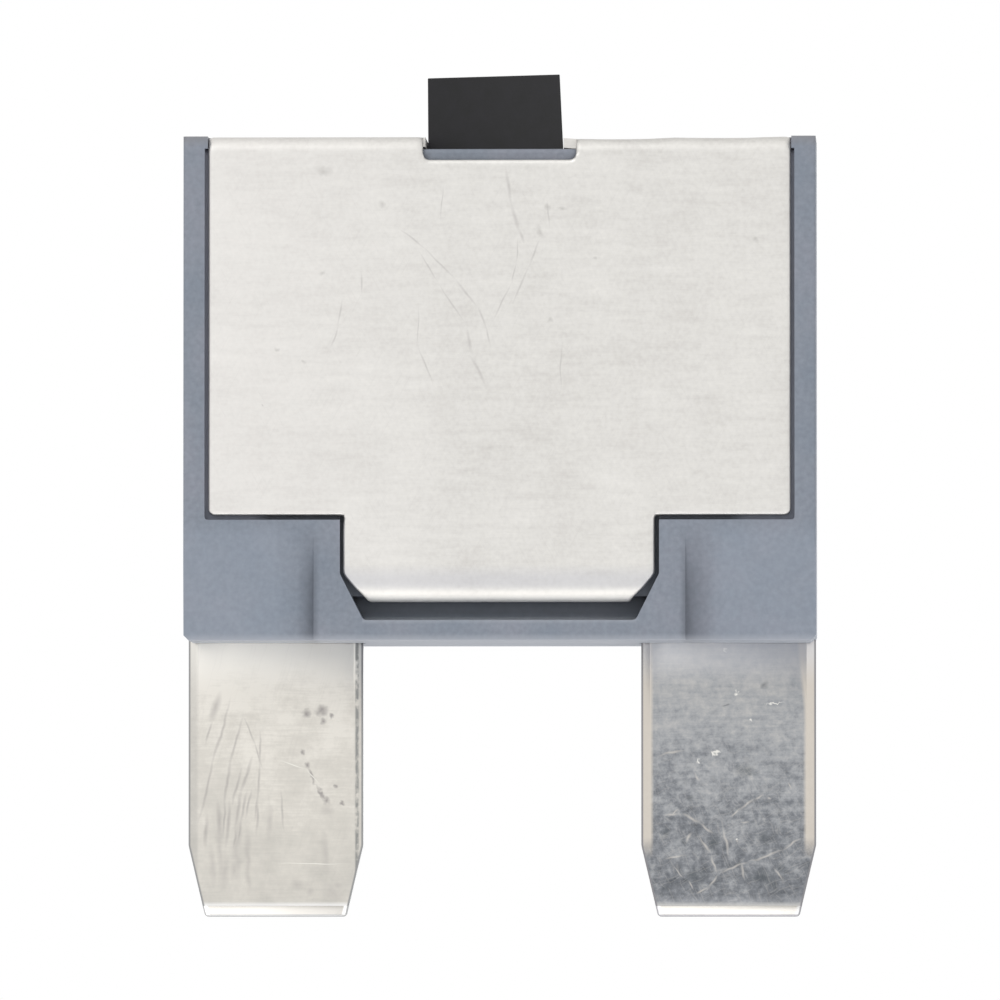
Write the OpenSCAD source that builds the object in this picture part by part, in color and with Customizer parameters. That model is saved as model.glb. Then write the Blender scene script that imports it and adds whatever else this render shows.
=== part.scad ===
// Blade-terminal automotive circuit breaker with a manual reset button.
// X runs across the two blades, Y from the front face to the rear, Z up.
// The origin is the middle of the underside, where the breaker seats on its holder.

/* [Case] */
// Width of the case
body_w = 29.2; // [28:0.1:32]
// Thickness of the case, from front to rear
body_t = 12.0; // [11.6:0.1:14]
// Height of the case, from the seat to the top of the cover
body_h = 23.2; // [23:0.1:27]
// Draft on each side, from the parting plane to the front or rear
side_draft = 0.05; // [0.05:0.05:0.3]
// Radius on the four upright corners
corner_r = 0.15; // [0.05:0.05:0.4]
// Wall at the left and right of the mechanism
side_wall = 1.3; // [1:0.1:1.8]
// Wall behind the cover, at the front and rear
face_wall = 1.15; // [0.9:0.05:1.5]
// Height of the solid base that grips the terminals
base_h = 3.4; // [3:0.1:3.9]
// Thickness of the roof under the cover
roof_t = 0.9; // [0.7:0.1:1.2]
// Size of the cut across each lower outer corner
foot_cut = 0.28; // [0.1:0.02:0.6]
// Half width of the middle strip that stays upright at the bottom
flare_x = 8.55; // [8:0.05:10]
// Height at which the corner faces start to slope back
flare_z = 4.8; // [3:0.1:5.4]
// How far the corner faces have sloped back at the seat
flare_d = 0.5; // [0.1:0.05:0.8]

/* [Recess for the cover] */
// Width of the rail left at each side of the cover
rail_w = 1.03; // [0.7:0.01:1.3]
// Depth of the recess that the cover lies in
recess_d = 0.5; // [0.48:0.01:0.6]
// Radius in the recess's lower corners
recess_r = 0.15; // [0.05:0.05:0.4]
// Width of the lugs that stand in the corner notches of the cover's web
lug_w = 0.32; // [0.2:0.02:0.5]
// Distance from the lugs to the top bends
lug_in = 0.5; // [0.4:0.05:1]
// Height of the ledges under the cover's shoulders
shoulder_z = 5.54; // [5.2:0.02:6.4]
// Width of the pocket for each tongue
pocket_w = 14.68; // [12:0.01:16]
// Height of the pocket's lower edge
pocket_z = 0.92; // [0.8:0.01:1.2]
// How far each lower corner of the pocket leans in
pocket_taper_w = 1.08; // [0.5:0.02:1.5]
// Height of the leaning part of the pocket's sides
pocket_taper_h = 2.14; // [1:0.02:3]
// Radius in the pocket's corners
pocket_r = 0.25; // [0.1:0.05:0.5]
// Height of the ledge over the slot for the tongue's hook
ledge_z = 2.04; // [1.6:0.01:2.2]
// Depth of the slot for the tongue's hook below the face
hook_slot_d = 2.4; // [2.2:0.1:3]

/* [Cover] */
// Thickness of the aluminium sheet
sheet_t = 0.45; // [0.3:0.01:0.47]
// Inner radius of the two top bends
bend_r = 0.25; // [0.1:0.05:0.5]
// Gap round the edges of the cover's faces
cover_gap = 0.2; // [0.1:0.01:0.3]
// Radius on the cover's lower outer corners
cover_corner_r = 0.32; // [0.1:0.02:0.6]
// Gap at each side of a tongue in its pocket
tongue_gap = 0.2; // [0.1:0.01:0.3]
// Height of the lowest line of the tongue
tongue_z = 1.8; // [1.6:0.02:2]
// Width of the cut across each lower corner of the tongue
tongue_cut_w = 1.08; // [0.6:0.02:1.6]
// Height of the cut across each lower corner of the tongue
tongue_cut_h = 1.25; // [0.6:0.05:1.8]
// Radius in the corner between a tongue and a shoulder
tongue_root_r = 0.12; // [0.05:0.01:0.3]
// Radius at the upper end of the tongue's cut
tongue_side_r = 0.4; // [0.1:0.05:0.8]
// Radius at the lower end of the tongue's cut
tongue_tip_r = 0.2; // [0.1:0.05:0.5]
// Outer radius of the bend into the hook
hook_r = 0.8; // [0.7:0.05:1.2]
// Reach of the hook into the case, from the cover's face
hook_l = 2.0; // [1.5:0.05:2.2]
// Width of the notch in each face for the button
notch_w = 7.05; // [6.9:0.05:8]
// Depth of the notch below the top of the cover
notch_d = 1.08; // [0.8:0.02:1.4]
// Radius in the notch's corners
notch_r = 0.3; // [0.1:0.05:0.6]

/* [Reset button] */
// Width of the button where it leaves the roof
button_w = 6.25; // [5.4:0.05:6.3]
// Thickness of the button, from front to rear
button_t = 6.0; // [4:0.1:6.4]
// Height of the button above the cover when tripped
button_up = 2.96; // [2.6:0.02:4]
// Draft on each side of the button, in degrees
button_draft = 1.15; // [0.1:0.05:1.5]
// Lean of the loose button to the left, in degrees
button_lean = 1.6; // [0.5:0.1:2.8]
// Height of the point that the button leans about
lean_z = 14.3; // [13:0.1:20]
// Travel of the button from tripped to reset
travel = 2.4; // [2.2:0.05:2.6]
// Half width of the stop shoulders under the roof
stop_x = 5.4; // [5:0.1:5.8]
// Half width of the slider below the shoulders
slider_x = 3.6; // [3.5:0.1:3.8]
// Half width of the window that the contacts meet in
window_x = 2.0; // [1.9:0.05:2.2]
// Thickness of the shutter at its top edge
shutter_tip_t = 0.25; // [0.15:0.01:0.3]
// Thickness of the shutter at its root
shutter_root_t = 0.6; // [0.4:0.02:0.62]
// How far the shutter reaches above the middle of the contacts
shutter_cover = 0.5; // [0.3:0.05:0.6]
// How far the shutter runs into the slider at each side
shutter_lap = 0.2; // [0.1:0.05:0.6]

/* [Return springs] */
// Outside diameter of a spring
spring_od = 1.9; // [1.6:0.05:2]
// Wire diameter
spring_wire = 0.28; // [0.2:0.01:0.32]
// Number of turns
spring_turns = 6; // [4:1:7]
// Distance of each spring from the middle of the slider
spring_x = 1.9; // [1.7:0.05:2]
// Diameter of the bore in the slider for a spring
spring_bore = 2.5; // [2.4:0.05:2.7]
// Depth of the bore
spring_bore_d = 2.2; // [1.6:0.1:2.4]

/* [Terminals] */
// Width of a blade
blade_w = 8.1; // [7.5:0.1:8.2]
// Distance from a blade's outer edge to the case's side
blade_inset = 0.05; // [0:0.01:0.2]
// Thickness of the strip that the terminals are stamped from
blade_t = 0.8; // [0.7:0.02:0.9]
// Length of a blade below the seat
blade_l = 12.68; // [10:0.02:14]
// Depth of the seat for a blade's shoulder in the underside
blade_seat = 0.15; // [0.1:0.01:0.3]
// Height of the tapered end of a blade
tip_h = 3.3; // [1.5:0.05:4]
// Taper on each side of the end
tip_w = 0.78; // [0.4:0.02:1.2]
// Radius where the taper starts
taper_r = 0.6; // [0.2:0.1:1.5]
// Radius on the corners of the tip
tip_r = 0.2; // [0.1:0.05:0.5]
// Height of the bevel across the tip
tip_bevel = 0.5; // [0.3:0.05:0.8]
// Thickness left at the tip
tip_t = 0.4; // [0.3:0.02:0.6]
// Width of the coined bevel along each blade edge
coin_w = 0.42; // [0.1:0.02:0.6]
// Depth of the coined bevel
coin_d = 0.1; // [0.05:0.01:0.2]
// Width of the tang inside the case
tang_w = 5.0; // [4.6:0.1:5.4]
// How far the tang's middle lies inwards of the blade's
tang_shift = 0.4; // [0.3:0.1:0.9]
// Height of the tang above the top of the arm
tang_rise = 2.0; // [1:0.1:2.6]
// Radius of the tang's fixing hole
tang_hole_r = 0.8; // [0.6:0.05:0.9]
// Height of the tang's fixing hole
tang_hole_z = 1.7; // [1.5:0.05:1.9]
// Height of the left terminal's arm
arm_h = 6.0; // [5.6:0.1:6.2]
// Reach of the arm past the fixed contact
arm_over = 0.7; // [0.3:0.1:1]
// Distance from the slider to the step in the arm
step_gap = 1.3; // [1:0.1:1.5]
// Length of the step in the arm
step_l = 1.8; // [1.4:0.1:2]

/* [Contacts and strip] */
// Height of the contacts above the seat
contact_z = 13.0; // [12.7:0.1:13.8]
// Radius of a contact's head
contact_r = 1.5; // [1.2:0.05:1.6]
// Radius of a contact's shank
shank_r = 0.8; // [0.6:0.05:0.9]
// Thickness of the fixed contact's head
fixed_head_t = 0.6; // [0.5:0.05:0.8]
// Thickness of the moving contact's head, with its dome
moving_head_t = 0.8; // [0.7:0.02:0.9]
// Height of the dome on the moving contact
dome_h = 0.35; // [0.2:0.01:0.4]
// Radius of a closed-over shank end
tail_r = 1.1; // [1:0.05:1.3]
// Thickness of a closed-over shank end
tail_t = 0.25; // [0.2:0.01:0.35]
// Lift of the moving contact when tripped
contact_lift = 0.9; // [0.85:0.01:1.1]
// Thickness of the bimetal strip
strip_t = 0.4; // [0.3:0.02:0.5]
// Height of the bimetal strip
strip_h = 5.0; // [4.9:0.1:5.6]
// Length of the strip past the middle of its contact
strip_over = 2.1; // [1.8:0.1:2.3]
// Distance from the tang's inner edge to the clamp plate
clamp_in = 0.9; // [0.5:0.1:1.2]
// Distance from the tang's outer edge to the clamp plate
clamp_out = 0.2; // [0.1:0.1:0.6]
// Thickness of the clamp plate
clamp_t = 0.5; // [0.4:0.05:0.8]
// Radius of a clamp rivet's shank
rivet_r = 0.6; // [0.5:0.05:0.7]
// Radius of a clamp rivet's heads
rivet_head_r = 1.05; // [0.9:0.05:1.2]
// Thickness of a clamp rivet's heads
rivet_head_t = 0.4; // [0.3:0.05:0.6]
// Distance between the two clamp rivets
rivet_pitch = 2.7; // [2.5:0.1:2.8]

/* [Fixings in the case] */
// Radius of the upper locating pegs
peg_r = 0.7; // [0.5:0.05:0.8]
// Length of a locating peg
peg_l = 1.6; // [1.2:0.1:2]
// Radius of the bosses round the upper pegs
boss_r = 1.5; // [1.3:0.1:1.6]
// How far the bosses run into the wall and the roof
boss_set = 0.4; // [0.1:0.1:0.6]
// Width of the ribs that hold the tangs
rib_w = 1.6; // [1:0.1:2.4]
// Distance from the lower ribs to the arm
rib_drop = 1.0; // [0.4:0.1:1.6]
// Distance from the top of the other ribs to what they guide
rib_short = 0.2; // [0.1:0.05:0.5]
// Width of the ribs at the sides of the slider's foot
guide_t = 1.0; // [0.6:0.1:1.4]
// Radius of the calibration screw
screw_r = 0.9; // [0.7:0.05:1]
// Distance of the calibration screw from the middle
screw_x = 3.6; // [3.4:0.1:3.8]
// Depth of the screw's end below the cover
screw_sink = 0.3; // [0.1:0.05:0.6]
// Width of the screw's slot
screw_slot_w = 0.3; // [0.2:0.05:0.4]
// Depth of the screw's slot
screw_slot_d = 0.4; // [0.2:0.05:0.6]
// Wall of the boss round the calibration screw
screw_boss_wall = 1.1; // [0.8:0.1:1.3]
// Distance from that boss to the arm
screw_boss_gap = 0.8; // [0.4:0.1:1.2]

/* [Clearances] */
// Between the slider and the walls, at each side
slide_gap = 0.15; // [0.1:0.01:0.25]
// Between the button and the slot in the cover
slot_gap = 0.05; // [0.03:0.01:0.1]
// Between the cover's web and the roof
web_gap = 0.1; // [0.02:0.01:0.2]
// Between the cover's upper corners and the rails
lip_gap = 0.06; // [0.03:0.01:0.09]
// Between the roof's slot and the cover's slot
roof_slot_gap = 0.1; // [0.05:0.05:0.3]
// Between the stop shoulders and the roof when tripped
stop_gap = 0.03; // [0.01:0.01:0.1]
// Between the slider's plate and the strip or the arm
plate_gap = 0.25; // [0.15:0.01:0.3]
// Between the shutter and the fixed contact
shutter_gap = 0.1; // [0.05:0.01:0.15]
// Between the slider and what it passes or stops short of
pass_gap = 0.4; // [0.2:0.05:0.6]
// Between the closed contacts
closed_gap = 0.03; // [0.01:0.01:0.06]
// Between a spring's end and the end of its bore
spring_gap = 0.02; // [0.01:0.01:0.1]
// Round the hook in its slot
hook_gap = 0.05; // [0.03:0.01:0.15]
// Between a tang's edges and its slot
tang_gap = 0.05; // [0.02:0.01:0.15]
// Round the blade's shoulder in its seat
blade_gap = 0.1; // [0.05:0.01:0.2]
// Round a peg in its hole
peg_gap = 0.05; // [0.02:0.01:0.1]

/* [Hidden] */
$fn = 64;

// cuts reach this far past the face they open
over = 1;
// joined pieces run this far into each other
merge = 0.5;
half_w = body_w / 2;
half_t = body_t / 2;
inner_x = half_w - side_wall;
// the cavity's half depth, behind the recess and the wall
inner_y = half_t - recess_d - face_wall;
recess_y = half_t - recess_d;
recess_x = half_w - rail_w;
web_z = body_h - sheet_t;
roof_top = web_z - web_gap;
roof_z = roof_top - roof_t;

// cover
cover_y = recess_y + sheet_t;
cover_x = recess_x - cover_gap;
cover_z = shoulder_z + cover_gap;
lip_x = cover_x + lip_gap;
tongue_x = pocket_w / 2 - tongue_gap;
hook_x = tongue_x - tongue_cut_w;
bend_end_y = recess_y - bend_r;
lug_x = recess_x - lug_w;
lug_y = bend_end_y - lug_in;
hook_bend_y = cover_y - hook_r;
// the pocket's floor lies just behind the bend into the hook
pocket_floor_y = hook_bend_y - hook_gap;

// blades and tangs
blade_out = half_w - blade_inset;
blade_in = blade_out - blade_w;
blade_x = (blade_in + blade_out) / 2;
tang_x = blade_x - tang_shift;
arm_top = contact_z + arm_h / 2;
arm_bottom = contact_z - arm_h / 2;
tang_top = arm_top + tang_rise;

// planes across the mechanism, from the strip at the front to the arm behind
strip_y = -(blade_t + strip_t) / 2;
fixed_face_y = moving_head_t + closed_gap - blade_t / 2;
arm_y = fixed_face_y + fixed_head_t;
step_x = slider_x + step_gap;
arm_end = contact_r + arm_over;

// strip: clamped from clamp_x outwards, bowed forward to a circle when tripped
clamp_x = tang_x - tang_w / 2 + clamp_in;
clamp_l = tang_w - clamp_in - clamp_out;
bow_r = clamp_x * clamp_x / (2 * contact_lift);
function bow_angle(s) = s / bow_r * 180 / PI;
rivet_x = clamp_x + clamp_l / 2;
strip_bottom = contact_z - strip_h / 2;

// slider: drawn upright, then leaned about a point at its middle
lean_sin = sin(button_lean);
function lean_x(z) = -(z - lean_z) * lean_sin;
function leaned_z(x, z) = lean_z + x * lean_sin + (z - lean_z) * cos(button_lean);
stop_z = lean_z + (roof_z - stop_gap - lean_z - stop_x * lean_sin) / cos(button_lean);
stop_bottom = arm_top + travel + pass_gap + stop_x * lean_sin;
slider_y = inner_y - slide_gap;
plate_front = plate_gap - blade_t / 2;
plate_rear = arm_y - plate_gap;
shutter_rear = fixed_face_y - shutter_gap;
shutter_top = contact_z + shutter_cover;
shutter_low = contact_z - contact_r - pass_gap - window_x * lean_sin;
window_top = contact_z + contact_r + travel + pass_gap;
foot_top = arm_bottom - pass_gap;
foot_z = base_h + travel + pass_gap + slider_x * lean_sin;
guide_x = slider_x + lean_x(foot_z) + slide_gap;
spring_top = foot_z + spring_bore_d;
button_y = button_t / 2;

// the cover's slot lets the button sink straight while it leans
sink_shift = travel * max(0, lean_sin - tan(button_draft));
slot_right = button_w / 2 + lean_x(roof_top) + slot_gap;
slot_left = lean_x(roof_top) - button_w / 2 - sink_shift - slot_gap;
// the roof's slot is the same both sides
roof_slot_x = roof_slot_gap - slot_left;

// fixings
boss_x = inner_x - boss_r + boss_set;
boss_z = roof_z - boss_r + boss_set;
wall_y = inner_y + face_wall / 2;
screw_end = recess_y - screw_sink;
screw_boss_y = arm_y + blade_t + screw_boss_gap;

// ---- outlines ----

function unit(v) = v / norm(v);

// The round between the edges b-a and b-c, as n + 1 points
function round_points(a, b, c, r, n) =
    let (
        u = unit(a - b),
        w = unit(c - b),
        half = acos(u * w) / 2,
        centre = b + unit(u + w) * r / sin(half),
        first = b + u * r / tan(half) - centre,
        last = b + w * r / tan(half) - centre,
        start = atan2(first.y, first.x),
        turn = (atan2(last.y, last.x) - start + 540) % 360 - 180
    )
    [for (i = [0:n]) centre + r * [cos(start + turn * i / n), sin(start + turn * i / n)]];

// A closed outline through corners [x, y, r], each rounded to its own radius r
function rounded(corners, n = 4) =
    let (count = len(corners))
    [for (i = [0:count - 1])
        let (
            a = corners[(i + count - 1) % count],
            b = corners[i],
            c = corners[(i + 1) % count]
        )
        each b.z > 0
            ? round_points([a.x, a.y], [b.x, b.y], [c.x, c.y], b.z, n)
            : [[b.x, b.y]]];

// An X-Z outline carried from y0 to y1
module along_y(y0, y1) {
    translate([0, y1, 0]) rotate([90, 0, 0]) linear_extrude(y1 - y0) children();
}

// A Y-Z outline carried from x0 to x1
module along_x(x0, x1) {
    translate([x0, 0, 0]) rotate([90, 0, 90]) linear_extrude(x1 - x0) children();
}

module span(x0, x1, y0, y1, z0, z1) {
    translate([x0, y0, z0]) cube([x1 - x0, y1 - y0, z1 - z0]);
}

// The same thing at both ends of the case
module both_ends() {
    children();
    mirror([1, 0, 0]) children();
}

// A round bar along Y
module bar_y(r, x, z, y0, y1) {
    translate([x, y1, z]) rotate([90, 0, 0]) cylinder(r = r, h = y1 - y0);
}

// ---- case halves, drawn for y > 0 and mirrored for the front ----

// Outer block of one half: drafted sides, round upright corners, cut lower corners
module half_block() {
    front_x = half_w - side_draft;
    intersection() {
        linear_extrude(body_h)
            polygon(rounded([[half_w, 0, 0], [front_x, half_t, corner_r],
                             [-front_x, half_t, corner_r], [-half_w, 0, 0]]));
        along_y(-over, half_t + over)
            polygon([[half_w - foot_cut, 0], [half_w, foot_cut], [half_w, body_h],
                     [-half_w, body_h], [-half_w, foot_cut], [foot_cut - half_w, 0]]);
    }
}

// Recess that the cover lies in: the face down to the shoulders, and the roof between the
// lips of the rails, less a lug at each end of the roof
module cover_recess() {
    difference() {
        intersection() {
            along_x(-recess_x, recess_x)
                difference() {
                    translate([-over, 0]) square([half_t + 2 * over, body_h + over]);
                    translate([-2 * over, -over])
                        square([bend_end_y + 2 * over, roof_top + over]);
                    translate([-2 * over, -over])
                        square([recess_y + 2 * over, roof_top - bend_r + over]);
                    translate([bend_end_y, roof_top - bend_r]) circle(bend_r);
                }
            along_y(-2 * over, half_t + 2 * over)
                polygon(rounded([
                    [lip_x, body_h + over, 0],
                    [lip_x, roof_top, 0],
                    [recess_x, roof_top, 0],
                    [recess_x, shoulder_z, recess_r],
                    [-recess_x, shoulder_z, recess_r],
                    [-recess_x, roof_top, 0],
                    [-lip_x, roof_top, 0],
                    [-lip_x, body_h + over, 0]]));
        }
        both_ends()
            span(lug_x, half_w, -2 * over, lug_y, roof_z, body_h + 2 * over);
    }
}

function pocket_outline(top) = rounded([
    [pocket_w / 2, top, 0],
    [pocket_w / 2, pocket_z + pocket_taper_h, pocket_r],
    [pocket_w / 2 - pocket_taper_w, pocket_z, pocket_r],
    [pocket_taper_w - pocket_w / 2, pocket_z, pocket_r],
    [-pocket_w / 2, pocket_z + pocket_taper_h, pocket_r],
    [-pocket_w / 2, top, 0]]);

// Pocket for the tongue, and the slot behind it for the hook
module tongue_pocket() {
    along_y(pocket_floor_y, half_t + over) polygon(pocket_outline(shoulder_z + over));
    along_y(half_t - hook_slot_d, half_t)
        intersection() {
            polygon(pocket_outline(shoulder_z));
            translate([-pocket_w, 0]) square([2 * pocket_w, ledge_z]);
        }
    span(-hook_x - hook_gap, hook_x + hook_gap, half_t - hook_slot_d, half_t,
         tongue_z, tongue_z + sheet_t + hook_gap);
}

// Slope that thins the lower outer corners
module corner_slope() {
    along_x(flare_x, half_w + over)
        polygon([[half_t, flare_z], [half_t - flare_d, 0],
                 [half_t - flare_d, -over], [half_t + over, -over], [half_t + over, flare_z]]);
}

// Slot in the base for half of a tang, and the seat for the blade's shoulder
module terminal_slot() {
    side = tang_w / 2 + tang_gap;
    span(tang_x - side, tang_x + side, -over, blade_t / 2, -over, base_h + over);
    span(blade_in - blade_gap, half_w + over, -over, blade_t / 2 + blade_gap,
         -over, blade_seat);
}

// Rib from the wall to a tang's face
module tang_rib(z0, z1) {
    span(tang_x - rib_w / 2, tang_x + rib_w / 2, blade_t / 2, wall_y, z0, z1);
}

module case_half() {
    difference() {
        union() {
            difference() {
                half_block();
                cover_recess();
                tongue_pocket();
                both_ends() corner_slope();
                span(-inner_x, inner_x, -over, inner_y, base_h, roof_z);
            }
            both_ends() {
                tang_rib(base_h - over, arm_bottom - rib_drop);
                tang_rib(arm_top + pass_gap, tang_top - rib_short);
                bar_y(boss_r, boss_x, boss_z, 0, wall_y);
                span(guide_x, guide_x + guide_t, slide_gap, wall_y,
                     base_h - over, foot_top - rib_short);
            }
        }
        both_ends() terminal_slot();
        span(-roof_slot_x, roof_slot_x, -over, button_y + slide_gap, roof_z - over, body_h);
    }
}

module front_case() {
    color([0.55, 0.58, 0.64])
    mirror([0, 1, 0]) {
        difference() {
            case_half();
            both_ends()
                bar_y(tang_hole_r, tang_x, tang_hole_z, -over, blade_t / 2 + peg_l);
        }
        both_ends()
            bar_y(peg_r, boss_x, boss_z, -peg_l, over);
    }
}

module rear_case() {
    color([0.53, 0.56, 0.62]) {
        difference() {
            union() {
                case_half();
                bar_y(screw_r + screw_boss_wall, -screw_x, contact_z, screw_boss_y, wall_y);
            }
            both_ends()
                bar_y(peg_r + peg_gap, boss_x, boss_z, -over, peg_l + peg_gap);
            bar_y(screw_r, -screw_x, contact_z, screw_boss_y - over, half_t + over);
        }
        both_ends()
            bar_y(tang_hole_r - peg_gap, tang_x, tang_hole_z,
                  -blade_t / 2 - peg_l + peg_gap, blade_t / 2 + over);
    }
}

// ---- cover, folded from one sheet over the top and hooked under both faces ----

// A quarter of the ring between two radii, in the sector from +x to +y
module quarter_ring(r_in, r_out) {
    intersection() {
        difference() {
            circle(r_out);
            circle(r_in);
        }
        square(r_out);
    }
}

// Half of the folded section, for y > 0: web, top bend, face, bend into the hook
module cover_section() {
    top_r = bend_r + sheet_t;
    translate([-over, web_z]) square([bend_end_y + over, sheet_t]);
    translate([bend_end_y, web_z - bend_r]) quarter_ring(bend_r, top_r);
    translate([recess_y, tongue_z + hook_r])
        square([sheet_t, web_z - bend_r - tongue_z - hook_r]);
    translate([hook_bend_y, tongue_z + hook_r])
        mirror([0, 1]) quarter_ring(hook_r - sheet_t, hook_r);
}

// Front view of one face: shoulders, and the tongue with its cut corners
module cover_face() {
    polygon(rounded([
        [cover_x, body_h + over, 0],
        [cover_x, cover_z, cover_corner_r],
        [tongue_x, cover_z, tongue_root_r],
        [tongue_x, tongue_z + tongue_cut_h, tongue_side_r],
        [hook_x, tongue_z, tongue_tip_r],
        [-hook_x, tongue_z, tongue_tip_r],
        [-tongue_x, tongue_z + tongue_cut_h, tongue_side_r],
        [-tongue_x, cover_z, tongue_root_r],
        [-cover_x, cover_z, cover_corner_r],
        [-cover_x, body_h + over, 0]]));
}

module cover_half() {
    difference() {
        union() {
            intersection() {
                along_x(-cover_x, cover_x) cover_section();
                along_y(0, half_t + over) cover_face();
            }
            span(-hook_x, hook_x, cover_y - hook_l, hook_bend_y, tongue_z, tongue_z + sheet_t);
        }
        along_y(bend_end_y, half_t + over)
            polygon(rounded([
                [notch_w / 2, body_h + over, 0],
                [notch_w / 2, body_h - notch_d, notch_r],
                [-notch_w / 2, body_h - notch_d, notch_r],
                [-notch_w / 2, body_h + over, 0]]));
        span(slot_left, slot_right, -over, bend_end_y + sheet_t, web_z - bend_r, body_h + over);
        both_ends()
            span(lug_x - cover_gap, half_w, -over, lug_y + cover_gap, web_z - bend_r,
                 body_h + over);
    }
}

module cover_clip() {
    color([0.88, 0.87, 0.85]) {
        cover_half();
        mirror([0, 1, 0]) cover_half();
    }
}

// ---- reset button: cap, stop shoulders, windowed plate with a shutter, foot ----

module leaned() {
    translate([0, 0, lean_z]) rotate([0, -button_lean, 0]) translate([0, 0, -lean_z]) children();
}

// Drafted cap, narrowing upwards in both views
module button_cap() {
    top = body_h + button_up;
    rise = top - stop_bottom;
    low_gain = (roof_top - stop_bottom) * tan(button_draft);
    top_loss = (top - roof_top) * tan(button_draft);
    module flank(half) {
        polygon([[-half - low_gain, stop_bottom], [half + low_gain, stop_bottom],
                 [half - top_loss, stop_bottom + rise], [top_loss - half, stop_bottom + rise]]);
    }
    intersection() {
        along_y(-button_t, button_t) flank(button_w / 2);
        along_x(-button_w, button_w) flank(button_y);
    }
}

module shutter() {
    along_x(-window_x - shutter_lap, window_x + shutter_lap)
        polygon([[shutter_rear, shutter_low], [shutter_rear, shutter_top],
                 [shutter_rear - shutter_tip_t, shutter_top],
                 [shutter_rear - shutter_root_t, shutter_top - contact_r],
                 [shutter_rear - shutter_root_t, shutter_low]]);
}

module reset_button() {
    color([0.14, 0.14, 0.15])
    leaned() {
        button_cap();
        span(-stop_x, stop_x, -slider_y, slider_y, stop_bottom, stop_z);
        shutter();
        difference() {
            union() {
                span(-slider_x, slider_x, plate_front, plate_rear, foot_z, stop_bottom + merge);
                span(-slider_x, slider_x, -slider_y, slider_y, foot_z, foot_top);
            }
            span(-window_x, window_x, -over, plate_rear + over, shutter_low, window_top);
            for (side = [-1, 1])
                translate([side * spring_x, 0, foot_z - over])
                    cylinder(d = spring_bore, h = spring_bore_d + over);
        }
    }
}

// ---- return springs ----

// Rise of the wire's centre, from 0 to 1 along the spring, with the end turns closed
function coil_rise(t, closed) =
    let (turn = t * spring_turns)
    turn < 1 ? turn * closed
    : turn > spring_turns - 1 ? 1 - (spring_turns - turn) * closed
    : closed + (turn - 1) / (spring_turns - 2) * (1 - 2 * closed);

// A wire of six sides on a helix between two heights
module coil_spring(x, low, high) {
    sides = 6;
    rings = 12 * spring_turns;
    // closed turns lie this many wires apart
    closed_pitch = 1.1;
    wire_r = spring_wire / 2;
    coil_r = spring_od / 2 - wire_r;
    climb = high - low - spring_wire;
    closed = closed_pitch * spring_wire / climb;
    points = [for (i = [0:rings], k = [0:sides - 1])
        let (
            turn = 360 * spring_turns * i / rings,
            r = coil_r + wire_r * cos(360 * k / sides),
            z = low + wire_r + climb * coil_rise(i / rings, closed)
        )
        [x + r * cos(turn), r * sin(turn), z + wire_r * sin(360 * k / sides)]];
    sleeve = [for (i = [0:rings - 1], k = [0:sides - 1])
        let (
            a = i * sides + k,
            b = i * sides + (k + 1) % sides,
            c = b + sides,
            d = a + sides
        )
        each [[a, c, b], [a, d, c]]];
    start = [for (k = [0:sides - 1]) k];
    end = [for (k = [sides - 1:-1:0]) rings * sides + k];
    polyhedron(points, concat(sleeve, [start, end]));
}

// One spring stands on the base under its bore, and just reaches the bore's leaning end
module reset_spring(side) {
    x = side * spring_x + lean_x(foot_z + spring_bore_d / 2);
    high = leaned_z(side * spring_x, spring_top) - (spring_od / 2 * lean_sin + spring_gap);
    color([0.72, 0.73, 0.74]) coil_spring(x, base_h, high);
}

module left_reset_spring() {
    reset_spring(-1);
}

module right_reset_spring() {
    reset_spring(1);
}

// ---- terminals, drawn at the right ----

// Blade below the case: coined long edges, tapered end, bevelled tip
module blade() {
    y = blade_t / 2;
    tip = -blade_l;
    intersection() {
        translate([0, 0, tip])
            linear_extrude(blade_l + blade_seat)
            polygon([[blade_in, coin_d - y], [blade_in + coin_w, -y],
                     [blade_out - coin_w, -y], [blade_out, coin_d - y],
                     [blade_out, y - coin_d], [blade_out - coin_w, y],
                     [blade_in + coin_w, y], [blade_in, y - coin_d]]);
        along_y(-blade_t, blade_t)
            polygon(rounded([
                [blade_in, blade_seat, 0], [blade_in, tip + tip_h, taper_r],
                [blade_in + tip_w, tip, tip_r], [blade_out - tip_w, tip, tip_r],
                [blade_out, tip + tip_h, taper_r], [blade_out, blade_seat, 0]]));
        along_x(blade_in - over, blade_out + over)
            polygon([[-y, blade_seat], [-y, tip + tip_bevel], [-tip_t / 2, tip],
                     [tip_t / 2, tip], [y, tip + tip_bevel], [y, blade_seat]]);
    }
}

// Tang inside the case, with its fixing hole
module tang() {
    difference() {
        span(tang_x - tang_w / 2, tang_x + tang_w / 2, -blade_t / 2, blade_t / 2, 0, tang_top);
        bar_y(tang_hole_r, tang_x, tang_hole_z, -blade_t, blade_t);
    }
}

module right_terminal() {
    color([0.66, 0.69, 0.72])
    difference() {
        union() {
            blade();
            tang();
        }
        for (side = [-1, 1])
            bar_y(rivet_r, rivet_x, contact_z + side * rivet_pitch / 2, -blade_t, blade_t);
    }
}

// Arm from the left tang to the middle, stepped back behind the slider
module contact_arm() {
    y = blade_t / 2;
    step = arm_y + y;
    difference() {
        translate([0, 0, arm_bottom])
            linear_extrude(arm_h)
            polygon([[-tang_x, -y], [-step_x - step_l, -y], [-step_x, step - y],
                     [arm_end, step - y], [arm_end, step + y], [-step_x, step + y],
                     [-step_x - step_l, y], [-tang_x, y]]);
        bar_y(shank_r, 0, contact_z, 0, arm_y + 2 * blade_t);
    }
}

module left_terminal() {
    color([0.89, 0.88, 0.85]) {
        mirror([1, 0, 0]) {
            blade();
            tang();
        }
        contact_arm();
    }
}

// ---- contacts ----

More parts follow.
